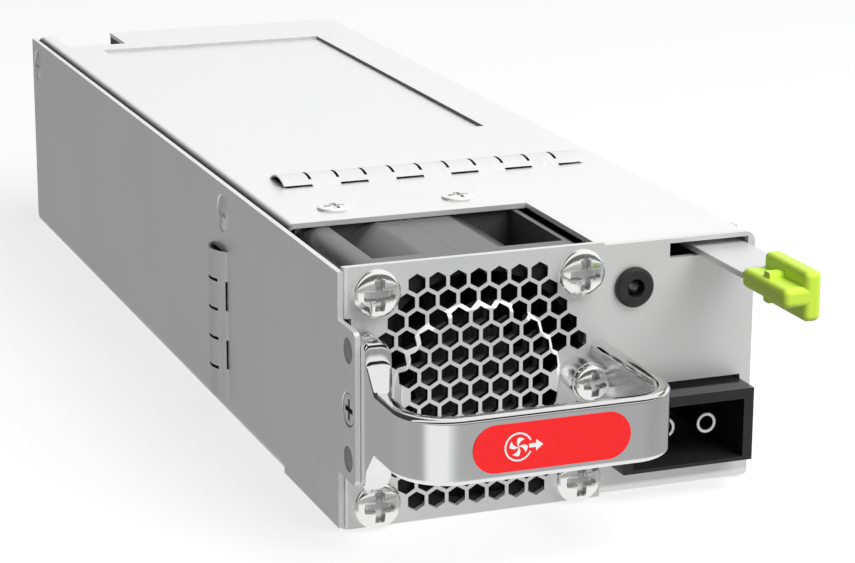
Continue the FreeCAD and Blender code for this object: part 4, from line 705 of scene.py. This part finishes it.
lens_low, lens_high = (np.array(corner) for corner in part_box("led_lens"))
lens_r = (lens_high[0] - lens_low[0]) / 2
lens_centre = ((lens_low[0] + lens_high[0]) / 2, lens_low[1], (lens_low[2] + lens_high[2]) / 2)
lens_finish = new_finish("smoked_lens", (0.03, 0.03, 0.03), 0.0, 0.10)
shader_of(lens_finish).inputs["Specular IOR Level"].default_value = 1.0
lens_cloud = noise_on(lens_finish, 1200.0, 2.0)
vary(lens_finish, "Base Color", lens_cloud, (0.020, 0.020, 0.020), (0.050, 0.052, 0.050))
points, faces = lens_surface(lens_centre, lens_r, lens_high[1] - lens_low[1])
lens = mesh_piece("faceted_lens", points, faces, lens_finish, "module", smooth_deg=5.0)
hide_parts("led_lens")


# Input socket: a glossy black housing moulded in one and snapped into the panel from behind.
# Its two tube contacts are tinned on their ends and feed copper bars; beyond the ends they are painted near
# black, as painted shade inside the housing.
socket_finish = new_finish("glossy_moulding", (0.018, 0.018, 0.019), 0.0, 0.12)
vary(socket_finish, "Roughness", noise_on(socket_finish, 160.0, 3.0, (1.0, 0.3, 1.0)), 0.09, 0.16)
dress(socket_finish, "dc_socket")

contact_finish = new_finish("tin_plate", (0.86, 0.86, 0.85), 0.5, 0.30)
contact_wear = noise_on(contact_finish, 700.0, 2.0)
vary(contact_finish, "Base Color", contact_wear, (0.82, 0.82, 0.81), (0.90, 0.90, 0.89))
dress(contact_finish, "rear_contacts")


def contact_tube(centre, length, bore_l, outer_r, bore_r, edge):
    """A tube contact along Y turned from a profile: its bore, a half circle round its end, its side and tail.

    Columns run round the tube, and each row is one point of the profile."""
    half = np.linspace(np.pi, 0.0, 13)
    mid_r = (outer_r + bore_r) / 2
    out = np.concatenate([[0.0, bore_r], mid_r + (outer_r - bore_r) / 2 * np.cos(half), [outer_r, 0.0]])
    along = np.concatenate([[bore_l, bore_l], edge - edge * np.sin(half), [length, length]])
    around = np.linspace(0.0, 2 * np.pi, 72, endpoint=False)
    y = np.broadcast_to(along[:, None], (len(out), 72))
    points = np.stack([out[:, None] * np.cos(around), y, out[:, None] * np.sin(around)], -1) + np.array(centre)
    return points.reshape(-1, 3), grid_faces(len(out), 72)


tube_low, tube_high = (np.array(corner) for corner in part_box("dc_contacts"))
tube_r, bore_r, bore_l, tube_edge, ring_l = 0.0016, 0.00112, 0.0085, 0.00015, 0.16
tube_l, tube_z = tube_high[1] - tube_low[1], (tube_low[2] + tube_high[2]) / 2
ring_finish = finish_copy(contact_finish, "tinned_ring")
tube_in = millimetres_from(ring_finish, tube_low)[1]
# Painted shade: the tubes are painted near black beyond a thin ring at their ends.
paint_over(ring_finish, math_node(ring_finish, "GREATER_THAN", tube_in, ring_l), (0.012, 0.012, 0.012))
points, faces = joined([
    contact_tube((x, tube_low[1], tube_z), tube_l, bore_l, tube_r, bore_r, tube_edge)
    for x in (tube_low[0] + tube_r, tube_high[0] - tube_r)
])
contacts = mesh_piece("tube_contacts", points, faces, ring_finish, "module")
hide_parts("dc_contacts")


# Latch: a stainless strip lever on a headed pin, with a lime moulded grip pressed on its tongue.
# The strip has rolling lines along it, and the grip has a fine matt grain. A bent leaf of spring sheet,
# welded under the cover, pushes the lever's hook out.
lever_finish = new_finish("stainless_strip", (0.72, 0.72, 0.72), 0.40, 0.36)
vary(lever_finish, "Roughness", noise_on(lever_finish, 2400.0, 2.0, (1.0, 0.02, 1.0)), 0.33, 0.40)
dress(lever_finish, "latch_lever", "latch_pivot")

grip_finish = new_finish("lime_moulding", (0.58, 0.81, 0.07), 0.0, 0.40)
grip_grain = noise_on(grip_finish, 2600.0, 2.0)
vary(grip_finish, "Base Color", grip_grain, (0.565, 0.795, 0.062), (0.585, 0.820, 0.070))
grain_bump(grip_finish, grip_grain, 0.00001, 0.15)
dress(grip_finish, "latch_grip")


def straight_bar(start, end, width, height, rows):
    """A bar whose lower left edge runs straight from start to end, towards the front.

    Each row is the four corners of its section, and each end closes to its middle."""
    share = np.linspace(0.0, 1.0, rows)[:, None]
    edge = np.array(start) * (1.0 - share) + np.array(end) * share
    corners = np.array([(0.0, 0.0, 0.0), (width, 0.0, 0.0), (width, 0.0, height), (0.0, 0.0, height)])
    return closed_ends(edge[:, None, :] + corners), grid_faces(rows + 2, 4)


leaf_low, leaf_high = (np.array(corner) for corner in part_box("latch_spring"))
leaf_t, leaf_h, tab_l = 0.0004, 0.0009, 0.003
bend_x, bend_y = leaf_low[0] + tab_l, leaf_high[1] - tab_l
base_w, base_h, tab_z = tab_l + leaf_t, leaf_high[2] - leaf_low[2], leaf_high[2] - leaf_t
leaf_tip = (leaf_high[0] - leaf_t, leaf_low[1], leaf_low[2])
points, faces = joined([
    straight_bar((bend_x, bend_y, leaf_low[2]), leaf_tip, leaf_t, leaf_h, rows=25),
    straight_bar((leaf_low[0], bend_y + leaf_t, leaf_low[2]), (leaf_low[0], bend_y, leaf_low[2]), base_w, base_h,
                 rows=2),
    straight_bar((leaf_low[0], leaf_high[1], tab_z), (leaf_low[0], bend_y, tab_z), base_w, leaf_t, rows=2),
])
leaf = mesh_piece("leaf_spring", points, faces, finger_finish)
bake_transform(leaf)
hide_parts("latch_spring")


# Power board: green laminate on brass posts over an amber film, with finned sink, cores and capacitors.
# The case hides it, but the vents at the rear let a little of it be seen. Each row is a finish: its name
# and plain values, its noise, the socket that varies and between what, and the nodes that wear it.
even = (1.0, 1.0, 1.0)
board_finishes = (
    ("solder_mask", (0.04, 0.22, 0.11), 0.0, 0.35, (600.0, 3.0, even),
     "Base Color", (0.030, 0.185, 0.090), (0.050, 0.250, 0.125), ("main_board",)),
    ("turned_brass", (0.78, 0.64, 0.32), 0.9, 0.3, (900.0, 3.0, (0.1, 0.1, 1.0)),
     "Base Color", (0.70, 0.56, 0.26), (0.83, 0.70, 0.38), ("board_standoffs",)),
    ("insulating_film", (0.70, 0.42, 0.10), 0.0, 0.25, (90.0, 3.0, even),
     "Base Color", (0.64, 0.37, 0.08), (0.74, 0.46, 0.12), ("insulating_film",)),
    ("extruded_aluminium", (0.75, 0.75, 0.76), 0.7, 0.38, (1400.0, 3.0, (1.0, 0.03, 1.0)),
     "Roughness", 0.30, 0.48, ("heat_sink",)),
    ("pressed_ferrite", (0.09, 0.09, 0.09), 0.0, 0.62, (800.0, 5.0, even),
     "Base Color", 0.07, 0.11, ("transformer", "output_choke")),
    ("enamelled_wire", (0.55, 0.24, 0.12), 0.6, 0.28, (700.0, 2.0, (1.0, 1.0, 0.2)),
     "Base Color", (0.42, 0.17, 0.08), (0.64, 0.30, 0.16), ("input_choke",)),
    ("capacitor_sleeve", (0.06, 0.08, 0.16), 0.0, 0.3, (500.0, 3.0, even),
     "Base Color", (0.050, 0.068, 0.140), (0.070, 0.092, 0.180), ("input_capacitors", "output_capacitors")),
)
for name, color, metallic, roughness, noise, socket, low, high, wearers in board_finishes:
    board_finish = new_finish(name, color, metallic, roughness)
    vary(board_finish, socket, noise_on(board_finish, *noise), low, high)
    dress(board_finish, *wearers)


# Studio: a pale floor that keeps the shadow, one wide soft lamp above the front, white backdrop.
# Plated parts mirror a plain room: grey floor with a light strip, dark bands above, backdrop behind.
def mix_shaders(tree, share, first, second):
    """A Mix Shader between two shader outputs, by a share that is an output socket or a number."""
    mix = tree.nodes.new("ShaderNodeMixShader")
    if isinstance(share, float):
        mix.inputs["Fac"].default_value = share
    else:
        tree.links.new(share, mix.inputs["Fac"])
    tree.links.new(first, mix.inputs[1])
    tree.links.new(second, mix.inputs[2])
    return mix.outputs["Shader"]


floor_half, floor_z, floor_white = 2.5, -0.0002, 0.75
floor_mesh = bpy.data.meshes.new("floor")
floor_edge = [(x * floor_half, y * floor_half, floor_z) for x, y in ((-1, -1), (1, -1), (1, 1), (-1, 1))]
floor_mesh.from_pydata(floor_edge, [], [(0, 1, 2, 3)])
floor = bpy.data.objects.new("floor", floor_mesh)
scene.collection.objects.link(floor)
floor.visible_glossy = False
floor_finish = new_finish("pale_floor", (0.22, 0.22, 0.22), 0.0, 0.9)
floor_tree = floor_finish.node_tree
floor_path = floor_tree.nodes.new("ShaderNodeLightPath")
floor_seen = floor_tree.nodes.new("ShaderNodeBsdfDiffuse")
floor_seen.inputs["Color"].default_value = (0.97, 0.97, 0.97, 1.0)
floor_glow = floor_tree.nodes.new("ShaderNodeEmission")
floor_pale = mix_shaders(floor_tree, floor_white, floor_seen.outputs["BSDF"], floor_glow.outputs["Emission"])
floor_lit = shader_of(floor_finish).outputs["BSDF"]
floor_mix = mix_shaders(floor_tree, floor_path.outputs["Is Camera Ray"], floor_lit, floor_pale)
floor_tree.links.new(floor_mix, floor_tree.nodes["Material Output"].inputs["Surface"])
floor_mesh.materials.append(floor_finish)

lamp_data = bpy.data.lights.new("soft_lamp", "AREA")
lamp_data.shape = "SQUARE"
lamp_data.size = 0.9
lamp_data.energy = 19.5
lamp = bpy.data.objects.new("soft_lamp", lamp_data)
lamp.visible_glossy = False
scene.collection.objects.link(lamp)
lamp_place = Vector((0.42, -0.68, 0.84))
lamp_turn = (-lamp_place).to_track_quat("-Z", "Y").to_matrix().to_4x4()
lamp.matrix_world = Matrix.Translation(lamp_place) @ lamp_turn

world = bpy.data.worlds.new("studio")
scene.world = world
world.use_nodes = True
tree = world.node_tree
world_math = functools.partial(math_node, world)


def grey_bands(value, stops):
    """A ColorRamp of grey levels over a value that runs from -1 to 1."""
    ramp = tree.nodes.new("ShaderNodeValToRGB")
    first, last = ramp.color_ramp.elements
    first.position, first.color = 0.0, (*[stops[0][1]] * 3, 1.0)
    last.position, last.color = 1.0, (*[stops[-1][1]] * 3, 1.0)
    for position, level in stops[1:-1]:
        ramp.color_ramp.elements.new((position + 1.0) / 2.0).color = (level, level, level, 1.0)
    tree.links.new(map_range(world, value, -1.0, 1.0), ramp.inputs["Fac"])
    return ramp.outputs["Color"]


def dimmed(levels, share, dimmer):
    """Grey levels multiplied by others, as far as a share from 0 to 1 says."""
    mix = tree.nodes.new("ShaderNodeMix")
    mix.data_type = "RGBA"
    mix.blend_type = "MULTIPLY"
    tree.links.new(share, mix.inputs["Factor"])
    tree.links.new(levels, mix.inputs["A"])
    tree.links.new(dimmer, mix.inputs["B"])
    return mix.outputs["Result"]


ambient = tree.nodes["Background"]
ambient.inputs["Color"].default_value = (1.0, 1.0, 1.0, 1.0)
ambient.inputs["Strength"].default_value = 0.24
room = tree.nodes.new("ShaderNodeBackground")
room.inputs["Strength"].default_value = 1.0
backdrop = tree.nodes.new("ShaderNodeBackground")
backdrop.inputs["Color"].default_value = (1.0, 1.0, 1.0, 1.0)
direction = tree.nodes.new("ShaderNodeTexCoord")
split = tree.nodes.new("ShaderNodeSeparateXYZ")
tree.links.new(direction.outputs["Generated"], split.inputs["Vector"])
to_x, to_y, to_z = (split.outputs[axis] for axis in "XYZ")
toward_front = world_math("MULTIPLY", to_y, -1.0)
rise = world_math("DIVIDE", world_math("ARCTAN2", to_z, toward_front), math.pi)
room_levels = grey_bands(rise, (
    (-1.0, 1.0), (-0.04, 0.95), (-0.02, 0.40), (0.07, 0.35), (0.09, 0.95), (0.13, 0.95), (0.15, 0.02),
    (0.30, 0.02), (0.33, 0.95), (1.0, 1.0)))
swing = world_math("DIVIDE", world_math("ARCTAN2", to_x, toward_front), math.pi)
strip_levels = grey_bands(swing, (
    (-1.0, 0.37), (-0.83, 0.40), (-0.66, 0.44), (-0.44, 0.43), (-0.37, 0.47), (-0.31, 0.90), (-0.27, 1.0),
    (-0.09, 1.0), (-0.03, 0.74), (0.03, 0.54), (0.08, 0.50), (0.14, 0.48), (0.31, 0.42), (0.55, 0.43),
    (1.0, 0.36)))
steep_end, shallow_start = -0.55, -0.42
shallow = map_range(world, to_z, steep_end, shallow_start)
low_share = world_math("MULTIPLY", world_math("LESS_THAN", to_z, 0.0), shallow)
corner_levels = grey_bands(to_x, (
    (-1.0, 0.05), (-0.4, 0.05), (-0.15, 0.15), (0.0, 0.8), (0.08, 1.0), (1.0, 1.0)))
above, beyond = (world_math("GREATER_THAN", value, 0.0) for value in (to_z, to_y))
strip_room = dimmed(room_levels, low_share, strip_levels)
room_color = dimmed(strip_room, world_math("MULTIPLY", above, beyond), corner_levels)
tree.links.new(room_color, room.inputs["Color"])
path = tree.nodes.new("ShaderNodeLightPath")
mirror = world_math("MAXIMUM", path.outputs["Is Glossy Ray"], path.outputs["Is Transmission Ray"])
lit = mix_shaders(tree, mirror, ambient.outputs["Background"], room.outputs["Background"])
seen = mix_shaders(tree, path.outputs["Is Camera Ray"], lit, backdrop.outputs["Background"])
tree.links.new(seen, tree.nodes["World Output"].inputs["Surface"])
